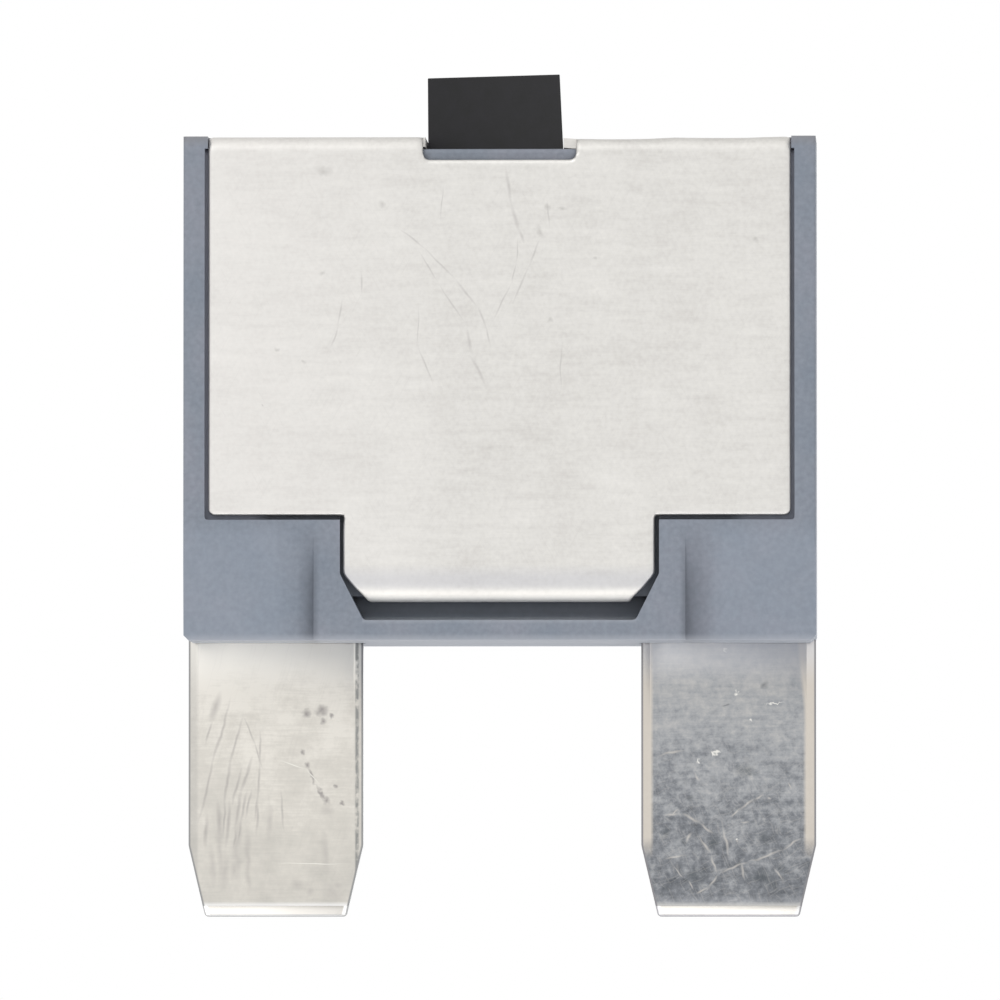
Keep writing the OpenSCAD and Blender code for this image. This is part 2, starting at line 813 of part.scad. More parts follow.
module fixed_contact() {
    color([0.84, 0.84, 0.82]) {
        bar_y(contact_r, 0, contact_z, fixed_face_y, arm_y);
        bar_y(shank_r, 0, contact_z, fixed_face_y, arm_y + blade_t + tail_t);
        bar_y(tail_r, 0, contact_z, arm_y + blade_t, arm_y + blade_t + tail_t);
    }
}

// Puts what is drawn at the strip's middle on the bow, at length s from the clamp
module on_bow(s) {
    translate([clamp_x, strip_y - bow_r, contact_z])
        rotate([0, 0, bow_angle(s)])
        translate([0, bow_r, 0]) children();
}

// Head with a ball dome, drawn with the strip's middle at y = 0 and the dome to the rear
module moving_contact() {
    face = strip_t / 2;
    dome_r = (contact_r * contact_r + dome_h * dome_h) / (2 * dome_h);
    // the closed-over end touches the strip's hollow face with its rim
    tail_y = -face - tail_r * tail_r / (2 * bow_r - strip_t);
    color([0.84, 0.84, 0.82])
    on_bow(clamp_x) {
        intersection() {
            bar_y(contact_r, 0, 0, face, face + moving_head_t);
            translate([0, face + moving_head_t - dome_r, 0]) sphere(dome_r);
        }
        bar_y(shank_r, 0, 0, tail_y - tail_t, face + (moving_head_t - dome_h) / 2);
        bar_y(tail_r, 0, 0, tail_y - tail_t, tail_y);
    }
}

// ---- bimetal strip and its clamp ----

module rivet_holes() {
    for (side = [-1, 1])
        bar_y(rivet_r, rivet_x, contact_z + side * rivet_pitch / 2, -body_t, body_t);
}

module bimetal_strip() {
    color([0.74, 0.71, 0.66])
    difference() {
        union() {
            translate([clamp_x, strip_y - bow_r, strip_bottom])
                rotate([0, 0, 90])
                rotate_extrude(angle = bow_angle(clamp_x + strip_over))
                translate([bow_r - strip_t / 2, 0]) square([strip_t, strip_h]);
            span(clamp_x, clamp_x + clamp_l, strip_y - strip_t / 2, strip_y + strip_t / 2,
                 strip_bottom, strip_bottom + strip_h);
        }
        on_bow(clamp_x) bar_y(shank_r, 0, 0, -strip_t, strip_t);
        rivet_holes();
    }
}

module clamp_plate() {
    color([0.70, 0.72, 0.74])
    difference() {
        span(clamp_x, clamp_x + clamp_l, strip_y - strip_t / 2 - clamp_t, strip_y - strip_t / 2,
             strip_bottom, strip_bottom + strip_h);
        rivet_holes();
    }
}

module clamp_rivet(side) {
    z = contact_z + side * rivet_pitch / 2;
    front = strip_y - strip_t / 2 - clamp_t;
    color([0.78, 0.66, 0.40]) {
        bar_y(rivet_r, rivet_x, z, front - rivet_head_t, blade_t / 2 + rivet_head_t);
        bar_y(rivet_head_r, rivet_x, z, front - rivet_head_t, front);
        bar_y(rivet_head_r, rivet_x, z, blade_t / 2, blade_t / 2 + rivet_head_t);
    }
}

module upper_clamp_rivet() {
    clamp_rivet(1);
}

module lower_clamp_rivet() {
    clamp_rivet(-1);
}

// Slotted screw in the rear wall that bears on the arm
module calibration_screw() {
    color([0.80, 0.69, 0.43])
    difference() {
        bar_y(screw_r, -screw_x, contact_z, arm_y + blade_t, screw_end);
        span(-screw_x - 2 * screw_r, 2 * screw_r - screw_x, screw_end - screw_slot_d,
             screw_end + over, contact_z - screw_slot_w / 2, contact_z + screw_slot_w / 2);
    }
}

front_case();
rear_case();
cover_clip();
reset_button();
left_reset_spring();
right_reset_spring();
left_terminal();
right_terminal();
fixed_contact();
moving_contact();
bimetal_strip();
clamp_plate();
upper_clamp_rivet();
lower_clamp_rivet();
calibration_screw();
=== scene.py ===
"""Looks of a blade-terminal automotive circuit breaker with a reset button, over its CAD frame."""
import math

import bmesh
import bpy
import numpy as np
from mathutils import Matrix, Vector


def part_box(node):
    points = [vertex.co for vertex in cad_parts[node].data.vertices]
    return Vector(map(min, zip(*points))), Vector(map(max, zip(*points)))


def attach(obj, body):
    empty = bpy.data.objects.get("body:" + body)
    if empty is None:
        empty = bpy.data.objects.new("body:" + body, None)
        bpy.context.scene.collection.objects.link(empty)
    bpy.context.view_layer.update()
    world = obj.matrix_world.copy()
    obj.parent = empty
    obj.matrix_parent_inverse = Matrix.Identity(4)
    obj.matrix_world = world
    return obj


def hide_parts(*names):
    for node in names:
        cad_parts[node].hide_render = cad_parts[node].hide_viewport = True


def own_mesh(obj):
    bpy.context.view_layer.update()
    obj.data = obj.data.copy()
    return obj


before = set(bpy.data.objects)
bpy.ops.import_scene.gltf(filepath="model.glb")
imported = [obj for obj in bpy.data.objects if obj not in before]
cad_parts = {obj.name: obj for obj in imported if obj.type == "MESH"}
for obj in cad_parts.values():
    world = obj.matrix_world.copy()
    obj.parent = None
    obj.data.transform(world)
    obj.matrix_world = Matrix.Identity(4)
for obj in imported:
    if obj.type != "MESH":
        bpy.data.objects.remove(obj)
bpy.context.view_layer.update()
scene = bpy.context.scene
MM = 0.001


# ---- colours and nodes ----

def tint(code):
    """Linear colour of an sRGB hex code such as '#8A92A0'."""
    values = np.array([int(code[i:i + 2], 16) for i in (1, 3, 5)]) / 255
    linear = np.where(values <= 0.04045, values / 12.92, ((values + 0.055) / 1.055) ** 2.4)
    return (*linear.tolist(), 1.0)


def grey(value):
    """A neutral colour of this linear level."""
    return (value, value, value, 1.0)


def node(tree, kind, inputs=None, stops=(), span=(), **settings):
    """Adds one shader node and returns it. inputs maps a socket to a value, or to the socket or
    the node that feeds it: a node feeds its first output in use. stops are the places and
    colours of a colour ramp. span are a map range's ends: from, to, and what they turn into,
    which is 0 and 1 where they aren't given."""
    made = tree.nodes.new("ShaderNode" + kind)
    for name, value in settings.items():
        setattr(made, name, value)
    fed = dict(inputs or {})
    fed.update(zip(("From Min", "From Max", "To Min", "To Max"), span))
    for name, value in fed.items():
        if isinstance(value, bpy.types.Node):
            value = next(socket for socket in value.outputs if socket.enabled)
        if isinstance(value, bpy.types.NodeSocket):
            tree.links.new(value, made.inputs[name])
        else:
            made.inputs[name].default_value = value
    if stops:
        ramp = made.color_ramp.elements
        while len(ramp) < len(stops):
            ramp.new(1.0)
        for element, (place, code) in zip(ramp, stops):
            element.position = place
            element.color = tint(code)
    return made


def emptied(owner):
    """The node tree of a material or a world, with no nodes in it."""
    owner.use_nodes = True
    owner.node_tree.nodes.clear()
    return owner.node_tree


def new_material(name):
    """A material without a shader yet, its node tree, and its Object coordinates in
    millimetres."""
    made = bpy.data.materials.new(name)
    tree = emptied(made)
    place = node(tree, "TexCoord")
    mm = node(tree, "Mapping", {"Vector": place.outputs["Object"], "Scale": (1 / MM,) * 3})
    return made, tree, mm


def finished(made, **inputs):
    """The material with its shader, set or fed by inputs, whose names have _ for a space."""
    tree = made.node_tree
    shader = node(tree, "BsdfPrincipled", {key.replace("_", " "): value
                                           for key, value in inputs.items()})
    node(tree, "OutputMaterial", {"Surface": shader})
    return made


def layered(tree, base, layers):
    """base under layers of colour, the lowest first. Each layer is (share, most, colour): share
    times most is how much of it covers what lies beneath. A colour is a hex code or a node."""
    for share, most, colour in layers:
        if most < 1:
            share = node(tree, "Math", {0: share, 1: most}, operation="MULTIPLY")
        if isinstance(colour, str):
            colour = tint(colour)
        base = node(tree, "Mix", {0: share, 6: base, 7: colour}, data_type="RGBA")
    return base


def strokes(tree, mm, y, marks, soft=0.5):
    """Single scratches and spots on the face at y. Each mark is (x, z, x, z, width) in
    millimetres, an ellipse drawn from end to end and 1.2 mm deep: 1 out to soft of the way
    from its middle to its rim, and 0 past its rim."""
    total = None
    for x0, z0, x1, z1, width in marks:
        half = max(math.hypot(x1 - x0, z1 - z0), width) / 2
        turn = math.atan2(z0 - z1, x1 - x0)
        local = node(tree, "Mapping", {"Vector": mm, "Location": ((x0 + x1) / 2, y, (z0 + z1) / 2),
                                       "Rotation": (0.0, turn, 0.0),
                                       "Scale": (half, 0.6, width / 2)}, vector_type="TEXTURE")
        away = node(tree, "VectorMath", {0: local}, operation="LENGTH")
        mark = node(tree, "MapRange", {"Value": away}, span=(soft, 1.0, 1.0, 0.0))
        total = mark if total is None else node(tree, "Math", {0: total, 1: mark},
                                                operation="MAXIMUM")
    return total


def hair_scratches(tree, mm, length, width, turn, share):
    """Many short straight scratches in one direction, about length by width millimetres,
    turned by turn degrees in the upright plane. A larger share covers more of the face."""
    turned = node(tree, "Mapping", {"Vector": mm, "Rotation": (0.0, math.radians(turn), 0.0)})
    # each set is taken from another place in the noise, drawn out along the scratches
    laid = node(tree, "Mapping", {"Vector": turned, "Location": (turn, 0.0, length),
                                  "Scale": (1 / length, 0.3, 1 / width)})
    blobs = node(tree, "TexNoise", {"Vector": laid, "Scale": 1.0, "Detail": 0.0})
    return node(tree, "MapRange", {"Value": blobs}, span=(0.82 - share, 0.9 - share))


def wandering(tree, mm, size, amount):
    """mm moved to and fro by about amount millimetres over distances of about size, so that
    what is drawn on it wavers as a mark left by handling does."""
    drift = node(tree, "TexNoise", {"Vector": mm, "Scale": 1 / size, "Detail": 1.0})
    # the noise stays about a half, seldom more than a quarter away from it
    moved = node(tree, "VectorMath", {0: drift.outputs["Color"], 1: (4 * amount,) * 3, 2: mm},
                 operation="MULTIPLY_ADD")
    return node(tree, "VectorMath", {0: moved, 1: (2 * amount,) * 3}, operation="SUBTRACT")


# ---- materials, with marks as (x, z, x, z, width) in millimetres ----

def case_step_shade_and_seam(tree, x, across, depth, up):
    """How much painted shade lies at the foot of the steps beside the middle strip, thicker lower
    down, and how much darker the seam is."""
    reach_out = node(tree, "MapRange", {"Value": x}, span=(-1.0, 1.0, 9.35, 9.95))
    foot = node(tree, "MapRange", {"Value": across}, span=(8.75, reach_out, 1.0, 0.0))
    crest = node(tree, "MapRange", {"Value": across}, span=(8.2, 8.6),
                 interpolation_type="SMOOTHSTEP")
    lower = node(tree, "MapRange", {"Value": up}, span=(2.6, 5.5, 0.5, 0.0))
    beside = node(tree, "Math", {0: foot, 1: crest}, operation="MULTIPLY")
    step = node(tree, "Math", {0: beside, 1: lower}, operation="MULTIPLY")
    seam = node(tree, "MapRange", {"Value": depth}, span=(0.04, 0.12, 0.6, 0.0))
    return node(tree, "Math", {0: step, 1: seam}, operation="MAXIMUM")


def case_gap_shade(tree, x, across, up, pocket_foot_unshaded):
    """How open the gaps are, and the colour of the painted shade in them. The painted shade falls
    where a gap is less than half a millimetre wide, blackest along the ledges, but not at the
    foot of the tongue's pocket or at the low steps, where the step's own painted shade lies."""
    # painted shade, from ambient occlusion
    corner = node(tree, "AmbientOcclusion", {"Distance": 0.4 * MM}, samples=6, only_local=False)
    open_share = node(tree, "MapRange", {"Value": corner.outputs["AO"]}, span=(0.25, 0.65))
    low = node(tree, "Math", {0: up, 1: 5.3}, operation="LESS_THAN")
    wide = node(tree, "Math", {0: across, 1: 8.2}, operation="GREATER_THAN")
    low_step = node(tree, "Math", {0: low, 1: wide}, operation="MULTIPLY")
    kept_unshaded = node(tree, "Math", {0: low_step, 1: pocket_foot_unshaded}, operation="MAXIMUM")
    unshaded = node(tree, "Math", {0: open_share, 1: kept_unshaded}, operation="MAXIMUM")
    ledge = node(tree, "MapRange", {"Value": across}, span=(11.4, 10.6))
    upper = node(tree, "Math", {0: up, 1: 5.44}, operation="GREATER_THAN")
    right = node(tree, "Math", {0: x, 1: -6.8}, operation="GREATER_THAN")
    either = node(tree, "Math", {0: upper, 1: right}, operation="MAXIMUM")
    deep = node(tree, "Math", {0: either, 1: ledge}, operation="MULTIPLY")
    return unshaded, layered(tree, tint("#8E909C"), [(deep, 1, "#1B1B24")])


def pocket_foot_highlight(tree, across, depth, up):
    """How much painted highlight lies at the foot of the tongue's pocket, in a line along it."""
    risen = node(tree, "MapRange", {"Value": up}, span=(1.15, 0.95))
    sunk = node(tree, "MapRange", {"Value": up}, span=(0.74, 0.88))
    line = node(tree, "Math", {0: risen, 1: sunk}, operation="MULTIPLY")
    deeper = node(tree, "MapRange", {"Value": depth},
                  span=(case_face - 0.05, case_face - 0.3, 0.12, 0.5))
    between = node(tree, "Math", {0: across, 1: 6.3}, operation="LESS_THAN")
    share = node(tree, "Math", {0: deeper, 1: between}, operation="MULTIPLY")
    return node(tree, "Math", {0: line, 1: share}, operation="MULTIPLY")


def moulded_polyester():
    """Blue-grey glass-filled polyester, compression moulded: a fine matt skin that the filler
    clouds and flecks a little, with painted light on its underside, lower edge and corner faces,
    painted shade inside and a painted highlight at the foot of the tongue's pocket."""
    made, tree, mm = new_material("moulded_polyester")
    cloud = node(tree, "TexNoise", {"Vector": mm, "Scale": 0.3, "Detail": 4.0, "Roughness": 0.6})
    colour = node(tree, "ValToRGB", {"Fac": cloud},
                  stops=[(0.3, "#87909D"), (0.5, "#8E95A1"), (0.7, "#9599A5")])
    # flecks of filler a quarter of a millimetre across
    fleck = node(tree, "TexNoise", {"Vector": mm, "Scale": 4.0, "Detail": 2.0})
    shade = node(tree, "MapRange", {"Value": fleck}, span=(0.3, 0.7, 0.92, 1.08))
    flecked = node(tree, "Mix", {0: 1.0, 6: colour, 7: shade}, data_type="RGBA",
                   blend_type="MULTIPLY")
    grain = node(tree, "Bump", {"Height": fleck, "Strength": 0.25, "Distance": 0.01 * MM})
    place = node(tree, "SeparateXYZ", {0: mm})
    x, up = place.outputs["X"], place.outputs["Z"]
    across = node(tree, "Math", {0: x}, operation="ABSOLUTE")
    depth = node(tree, "Math", {0: place.outputs["Y"]}, operation="ABSOLUTE")

    # painted light: the sloping corner faces, which catch more light, are painted a little paler
    broad = node(tree, "MapRange", {"Value": across}, span=(9.4, 10.4, 0.0, 0.22))
    below = node(tree, "MapRange", {"Value": up}, span=(5.5, 4.8))
    painted_corner_sheen = node(tree, "Math", {0: broad, 1: below}, operation="MULTIPLY")
    # painted light from below: the lower front edge is painted paler, and the underside paler
    # still
    toward_lower_edge = node(tree, "MapRange", {"Value": up}, span=(0.36, 0.0, 0.0, 0.55),
                interpolation_type="SMOOTHSTEP")
    outside = node(tree, "MapRange", {"Value": depth}, span=(case_face - 0.8, case_face - 0.6))
    lit_lower_edge = node(tree, "Math", {0: toward_lower_edge, 1: outside}, operation="MULTIPLY")
    lit_underside = node(tree, "MapRange", {"Value": up}, span=(0.06, 0.01, 0.0, 0.42))
    # the top half millimetre of the rails is tinted a warmer grey
    warm_top = node(tree, "MapRange", {"Value": up}, span=(case_top - 0.5, case_top, 0.0, 0.5))
    # painted shade darkens the inside of the recesses, but is left off the foot of the tongue's
    # pocket
    inside = node(tree, "MapRange", {"Value": depth},
                  span=(case_face - 0.6, case_face - 0.8, 0.0, 0.7))
    high = node(tree, "Math", {0: up, 1: 0.5}, operation="GREATER_THAN")
    walled = node(tree, "Math", {0: across, 1: case_half - 0.3}, operation="LESS_THAN")
    pocket_foot = node(tree, "MapRange", {"Value": up}, span=(1.3, 0.94))
    pocket_wide = node(tree, "Math", {0: across, 1: 7.0}, operation="LESS_THAN")
    pocket_foot_unshaded = node(tree, "Math", {0: pocket_foot, 1: pocket_wide}, operation="MULTIPLY")
    shade_reach = node(tree, "Math", {0: high, 1: pocket_foot_unshaded}, operation="SUBTRACT", use_clamp=True)
    shut = node(tree, "Math", {0: walled, 1: shade_reach}, operation="MULTIPLY")
    painted_recess_shade = node(tree, "Math", {0: inside, 1: shut}, operation="MULTIPLY")

    step_shade_and_seam = case_step_shade_and_seam(tree, x, across, depth, up)
    # painted light and shade over the tone: sheen on the corner faces, shade at the steps with the
    # darker seam, light on the lower edge and underside, warm rail tops, shade in the recesses
    colour_with_painted_light = layered(tree, flecked, [
        (painted_corner_sheen, 1, "#A9B4C4"), (step_shade_and_seam, 1, "#4C505A"), (lit_lower_edge, 1, "#B9BDC6"),
        (lit_underside, 1, "#C6C9D0"), (warm_top, 1, "#938F8D"), (painted_recess_shade, 1, "#5A5F67")])
    # painted shade in the narrow gaps, and a painted highlight at the foot of the pocket
    unshaded, gap_shade = case_gap_shade(tree, x, across, up, pocket_foot_unshaded)
    rub_and_highlight = pocket_foot_highlight(tree, across, depth, up)
    last = layered(tree, gap_shade, [(unshaded, 1, colour_with_painted_light), (rub_and_highlight, 1, "#E8ECF2")])
    return finished(made, Base_Color=last, Roughness=0.55, Normal=grain)


# scratches on the cover
COVER_SCRATCHES = [
    (0.31, 21.9, 0.63, 19.9, 0.22), (0.58, 20.2, 0.92, 18.6, 0.26), (0.86, 18.9, 1.15, 18.2, 0.2),
    (0.8, 18.5, 0.78, 17.3, 0.1), (0.8, 17.5, 0.57, 16.3, 0.1), (0.6, 16.5, -0.34, 14.6, 0.12),
    (1.88, 18.5, 1.35, 17.1, 0.14), (1.4, 17.3, 0.58, 15.3, 0.13),
    (-4.7, 19.05, -3.4, 17.95, 0.12), (-3.6, 18.15, -1.95, 16.55, 0.13),
    (-2.1, 16.75, -1.0, 15.2, 0.16), (-1.08, 15.4, -0.56, 14.3, 0.15),
    (-0.64, 14.6, -0.38, 13.5, 0.13), (-3.8, 17.95, -2.75, 16.35, 0.1),
    (-2.85, 16.5, -1.55, 14.6, 0.1), (-3.75, 13.6, -3.0, 11.6, 0.12),
    (-3.7, 15.4, -3.8, 13.4, 0.08), (-1.5, 14.4, -1.3, 13.2, 0.2), (2.9, 13.8, 2.8, 11.4, 0.1),
    (-1.35, 13.2, -0.6, 11.6, 0.2), (-2.6, 21.0, -2.7, 19.2, 0.08),
    (-6.36, 17.05, -6.29, 15.75, 0.12), (-7.2, 15.7, -7.45, 14.4, 0.12),
    (-7.4, 14.5, -7.8, 13.4, 0.12), (2.2, 20.4, 2.3, 18.9, 0.12)]

# smudges and pits on the cover
COVER_SMUDGES = [
    (-5.45, 20.2, -5.35, 19.9, 0.4), (2.15, 20.05, 2.3, 19.8, 0.35),
    (2.6, 19.95, 3.15, 19.8, 0.2), (2.25, 14.65, 2.5, 14.8, 0.28), (-8.6, 21.7, -7.6, 21.5, 0.5),
    (-10.3, 13.45, -10.15, 13.3, 0.25), (-9.1, 12.9, -8.9, 12.75, 0.25),
    (-8.3, 16.8, -8.0, 17.0, 0.25), (11.75, 18.6, 11.85, 18.2, 0.3),
    (-10.98, 10.8, -10.86, 10.8, 0.16), (1.75, 19.1, 2.0, 18.5, 0.35),
    (4.3, 17.6, 4.5, 17.5, 0.24)]


def rolled_aluminium():
    """Aluminium sheet, cold rolled: satin, with fine lines along the rolling direction and the
    scratches and thumb marks of handling."""
    made, tree, mm = new_material("rolled_aluminium")
    place = node(tree, "SeparateXYZ", {0: mm})
    up = place.outputs["Z"]
    # rolling lines three to the millimetre, drawn as coarse as they need to show
    along = node(tree, "Mapping", {"Vector": mm, "Scale": (0.35, 4.0, 3.0)})
    lines = node(tree, "TexNoise", {"Vector": along, "Scale": 1.0, "Detail": 6.0,
                                    "Roughness": 0.75})
    cloud = node(tree, "TexNoise", {"Vector": mm, "Scale": 0.3, "Detail": 8.0, "Roughness": 0.65})
    grit = node(tree, "TexNoise", {"Vector": mm, "Scale": 5.0, "Detail": 3.0})
    faint = node(tree, "MapRange", {"Value": cloud}, span=(0.0, 1.0, 0.12, 0.72))
    tone = node(tree, "Math", {0: lines, 1: 0.66, 2: faint}, operation="MULTIPLY_ADD")
    whole = node(tree, "Math", {0: grit, 1: 0.5, 2: tone}, operation="MULTIPLY_ADD")
    halved = node(tree, "Math", {0: whole, 1: 0.5}, operation="MULTIPLY")
    colour = node(tree, "ValToRGB", {"Fac": halved},
                  stops=[(0.34, "#CFCCC8"), (0.5, "#DDDBD7"), (0.66, "#E7E5E1")])
    # painted light brightens the left a little
    painted_left_light = node(tree, "MapRange", {"Value": place.outputs["X"]}, span=(-1.0, -12.0, 0.0, 0.35))

    drawn = strokes(tree, wandering(tree, mm, 1.5, 0.08), -cover_face, COVER_SCRATCHES, soft=0.0)
    smudged = strokes(tree, wandering(tree, mm, 0.3, 0.06), -cover_face, COVER_SMUDGES, soft=0.1)
    fine = hair_scratches(tree, mm, 2.4, 0.05, 62.0, 0.12)
    other = hair_scratches(tree, mm, 1.8, 0.05, 118.0, 0.12)
    both = node(tree, "Math", {0: fine, 1: other}, operation="MAXIMUM")
    hairs = node(tree, "Math", {0: both, 1: 0.12}, operation="MULTIPLY")
    marks = node(tree, "Math", {0: hairs, 1: drawn}, operation="MAXIMUM")

    # a bluish bloom where the sheet was gripped, above the lower fold
    grip_top = node(tree, "MapRange", {"Value": up},
                    span=(cover_foot + 1.7, cover_foot + 1.1, 0.0, 0.4))
    grip_foot = node(tree, "MapRange", {"Value": up}, span=(cover_foot + 0.4, cover_foot + 0.7))
    gripped = node(tree, "Math", {0: grip_top, 1: grip_foot}, operation="MULTIPLY")
    # a painted highlight brightens the lower fold, most of all underneath
    fold_upper_band = node(tree, "MapRange", {"Value": up},
                   span=(cover_foot + 0.8, cover_foot + 0.5, 0.0, 0.22))
    beneath = node(tree, "MapRange", {"Value": up},
                   span=(cover_foot + 0.3, cover_foot + 0.12, 0.0, 0.8))
    painted_fold_highlight = node(tree, "Math", {0: fold_upper_band, 1: beneath}, operation="MAXIMUM")
    # painted shade dims the highlight along the sheared lower edges of the shoulders
    edge = node(tree, "MapRange", {"Value": up},
                span=(shoulder_foot + 0.16, shoulder_foot + 0.11, 0.0, 0.8))
    across = node(tree, "Math", {0: place.outputs["X"]}, operation="ABSOLUTE")
    beside = node(tree, "Math", {0: across, 1: 7.2}, operation="GREATER_THAN")
    sheared = node(tree, "Math", {0: edge, 1: beside}, operation="MULTIPLY")
    last = layered(tree, colour, [
        (painted_left_light, 1, "#EFECE9"), (marks, 0.5, "#B2AEAC"), (smudged, 0.35, "#A3A09C"),
        (gripped, 1, "#C3C4CC"), (painted_fold_highlight, 1, "#F9F7F3"), (sheared, 1, "#BEBCB9")])

    # the folds are dull where the press stretched the skin
    below = node(tree, "MapRange", {"Value": up},
                 span=(cover_foot + 0.9, cover_foot + 0.4, 0.0, 0.2))
    above = node(tree, "MapRange", {"Value": up},
                 span=(cover_top - 0.7, cover_top - 0.4, 0.0, 0.15))
    stretched = node(tree, "Math", {0: below, 1: above}, operation="ADD")
    duller = node(tree, "Math", {0: stretched, 1: 0.36}, operation="ADD")
    rough = node(tree, "Math", {0: lines, 1: 0.16, 2: duller}, operation="MULTIPLY_ADD")
    grooves = node(tree, "Math", {0: marks, 1: 0.6}, operation="MULTIPLY")
    height = node(tree, "Math", {0: lines, 1: grooves}, operation="SUBTRACT")
    grain = node(tree, "Bump", {"Height": height, "Strength": 0.3, "Distance": 0.008 * MM})
    return finished(made, Base_Color=last, Metallic=1.0, Roughness=rough, Normal=grain)


def moulded_nylon():
    """Black nylon, injection moulded against a sanded tool: even and matt."""
    made, tree, mm = new_material("moulded_nylon")
    fleck = node(tree, "TexNoise", {"Vector": mm, "Scale": 0.9, "Detail": 9.0, "Roughness": 0.65})
    colour = node(tree, "ValToRGB", {"Fac": fleck}, stops=[(0.35, "#030305"), (0.65, "#111016")])
    grain = node(tree, "Bump", {"Height": fleck, "Strength": 0.3, "Distance": 0.01 * MM})
    return finished(made, Base_Color=colour, Roughness=0.5, IOR=1.46, Normal=grain)


def blade_bands(tree, place, left, right):
    """Shares of the bands on a blade between left and right: the sheared rim that the dies leave,
    a twelfth of a millimetre wide, which follows the tapered end and is painted grey as shade on
    its rounding, the bevel across the tip, which stops short of the rim, and a painted highlight
    just above the bevel. Also the bevel's colour, duller where it begins."""
    up = place.outputs["Z"]
    middle, half = (left + right) / 2, (right - left) / 2
    off = node(tree, "Math", {0: place.outputs["X"], 1: middle}, operation="SUBTRACT")
    away = node(tree, "Math", {0: off}, operation="ABSOLUTE")
    # the rim takes painted shade
    edge = node(tree, "MapRange", {"Value": up},
                span=(blade_end, blade_end + taper_h, half - taper_w, half))
    inward = node(tree, "Math", {0: edge, 1: away}, operation="SUBTRACT")
    side = node(tree, "MapRange", {"Value": inward}, span=(0.11, 0.06))
    end = node(tree, "MapRange", {"Value": up}, span=(blade_end + 0.13, blade_end + 0.08))
    rim = node(tree, "Math", {0: side, 1: end}, operation="MAXIMUM")
    across = node(tree, "MapRange", {"Value": up}, span=(blade_end + 0.52, blade_end + 0.48))
    short = node(tree, "MapRange", {"Value": inward}, span=(0.16, 0.26))
    tip = node(tree, "Math", {0: across, 1: short}, operation="MULTIPLY")
    begun = node(tree, "MapRange", {"Value": up}, span=(blade_end + 0.48, blade_end + 0.35))
    shine = layered(tree, tint("#ABA8A2"), [(begun, 1, "#BDBAB5")])
    # painted highlight just above the bevel
    painted_tip_highlight = node(tree, "MapRange", {"Value": up},
                  span=(blade_end + 0.7, blade_end + 0.53, 0.0, 0.7))
    return rim, tip, painted_tip_highlight, shine


# rub marks of the socket on the left blade
RUB_MARKS = [
    (-12.53, -2.34, -13.55, -6.06, 0.18), (-13.27, -4.96, -14.13, -8.44, 0.18),
    (-11.95, -3.22, -12.76, -6.08, 0.18), (-12.54, -5.02, -12.94, -7.88, 0.19),
    (-12.83, -6.97, -13.0, -9.33, 0.16), (-11.54, -5.1, -12.2, -7.2, 0.22),
    (-12.01, -6.45, -12.46, -9.05, 0.23), (-12.38, -8.36, -12.42, -9.84, 0.18),
    (-11.23, -3.9, -11.24, -6.0, 0.14), (-11.23, -5.28, -11.35, -7.52, 0.15),
    (-11.3, -6.86, -11.5, -8.34, 0.14), (-11.81, -6.73, -12.13, -8.47, 0.19),
    (-12.04, -7.94, -12.37, -9.56, 0.19), (-13.03, -2.14, -13.55, -3.76, 0.49),
    (-12.0, -3.36, -11.4, -4.84, 0.12), (-11.54, -4.47, -11.11, -5.83, 0.12),
    (-13.69, -7.83, -13.81, -9.57, 0.27), (-12.6, -7.05, -12.82, -9.65, 0.24),
    (-11.59, -6.64, -11.9, -8.26, 0.16), (-12.03, -5.6, -12.55, -7.7, 0.18),
    (-11.32, -6.9, -11.4, -9.0, 0.16), (-13.41, -3.47, -13.79, -4.83, 0.16),
    (-13.21, -7.18, -13.09, -9.42, 0.32), (-10.32, -6.7, -10.08, -8.8, 0.14)]

# broad faint smears on the left blade
SMEARS = [
    (-13.15, -7.4, -13.0, -11.8, 0.5), (-12.3, -7.2, -12.3, -11.6, 0.5),
    (-11.8, -8.2, -11.8, -11.7, 0.36), (-10.75, -7.2, -10.8, -9.2, 0.4),
    (-8.4, -11.3, -7.3, -11.9, 0.8), (-9.9, -10.9, -9.2, -11.4, 0.7),
    (-13.6, -9.2, -13.4, -11.4, 0.4), (-8.3, -8.6, -8.2, -10.8, 0.5),
    (-12.85, -9.4, -12.9, -11.9, 0.6), (-11.8, -10.1, -11.8, -11.8, 0.36),
    (-12.4, -9.8, -12.5, -11.2, 0.4), (-8.98, -11.45, -8.7, -11.6, 0.5),
    (-7.7, -11.1, -7.6, -11.4, 0.4), (-8.2, -7.5, -8.0, -8.0, 0.8)]

# spots of grime on the left blade
GRIME_SPOTS = [
    (-9.18, -3.25, -8.92, -3.25, 0.54), (-8.55, -3.05, -8.15, -3.2, 0.68),
    (-8.45, -3.5, -8.2, -3.8, 0.41), (-8.0, -3.3, -7.8, -3.45, 0.24),
    (-9.32, -4.95, -9.18, -5.05, 0.32), (-9.14, -5.55, -9.0, -5.75, 0.35),
    (-9.06, -5.7, -8.6, -6.65, 0.19), (-8.66, -6.5, -8.1, -7.5, 0.22),
    (-8.25, -7.25, -8.05, -7.4, 0.49), (-7.55, -7.3, -7.35, -7.5, 0.24),
    (-7.8, -6.6, -7.7, -6.8, 0.22)]

# bright lines on the left blade
BRIGHT_LINES = [
    (-10.6, -10.21, -6.9, -10.21, 0.06), (-10.38, -5.4, -9.0, -5.85, 0.07),
    (-9.1, -5.8, -8.4, -6.6, 0.06)]


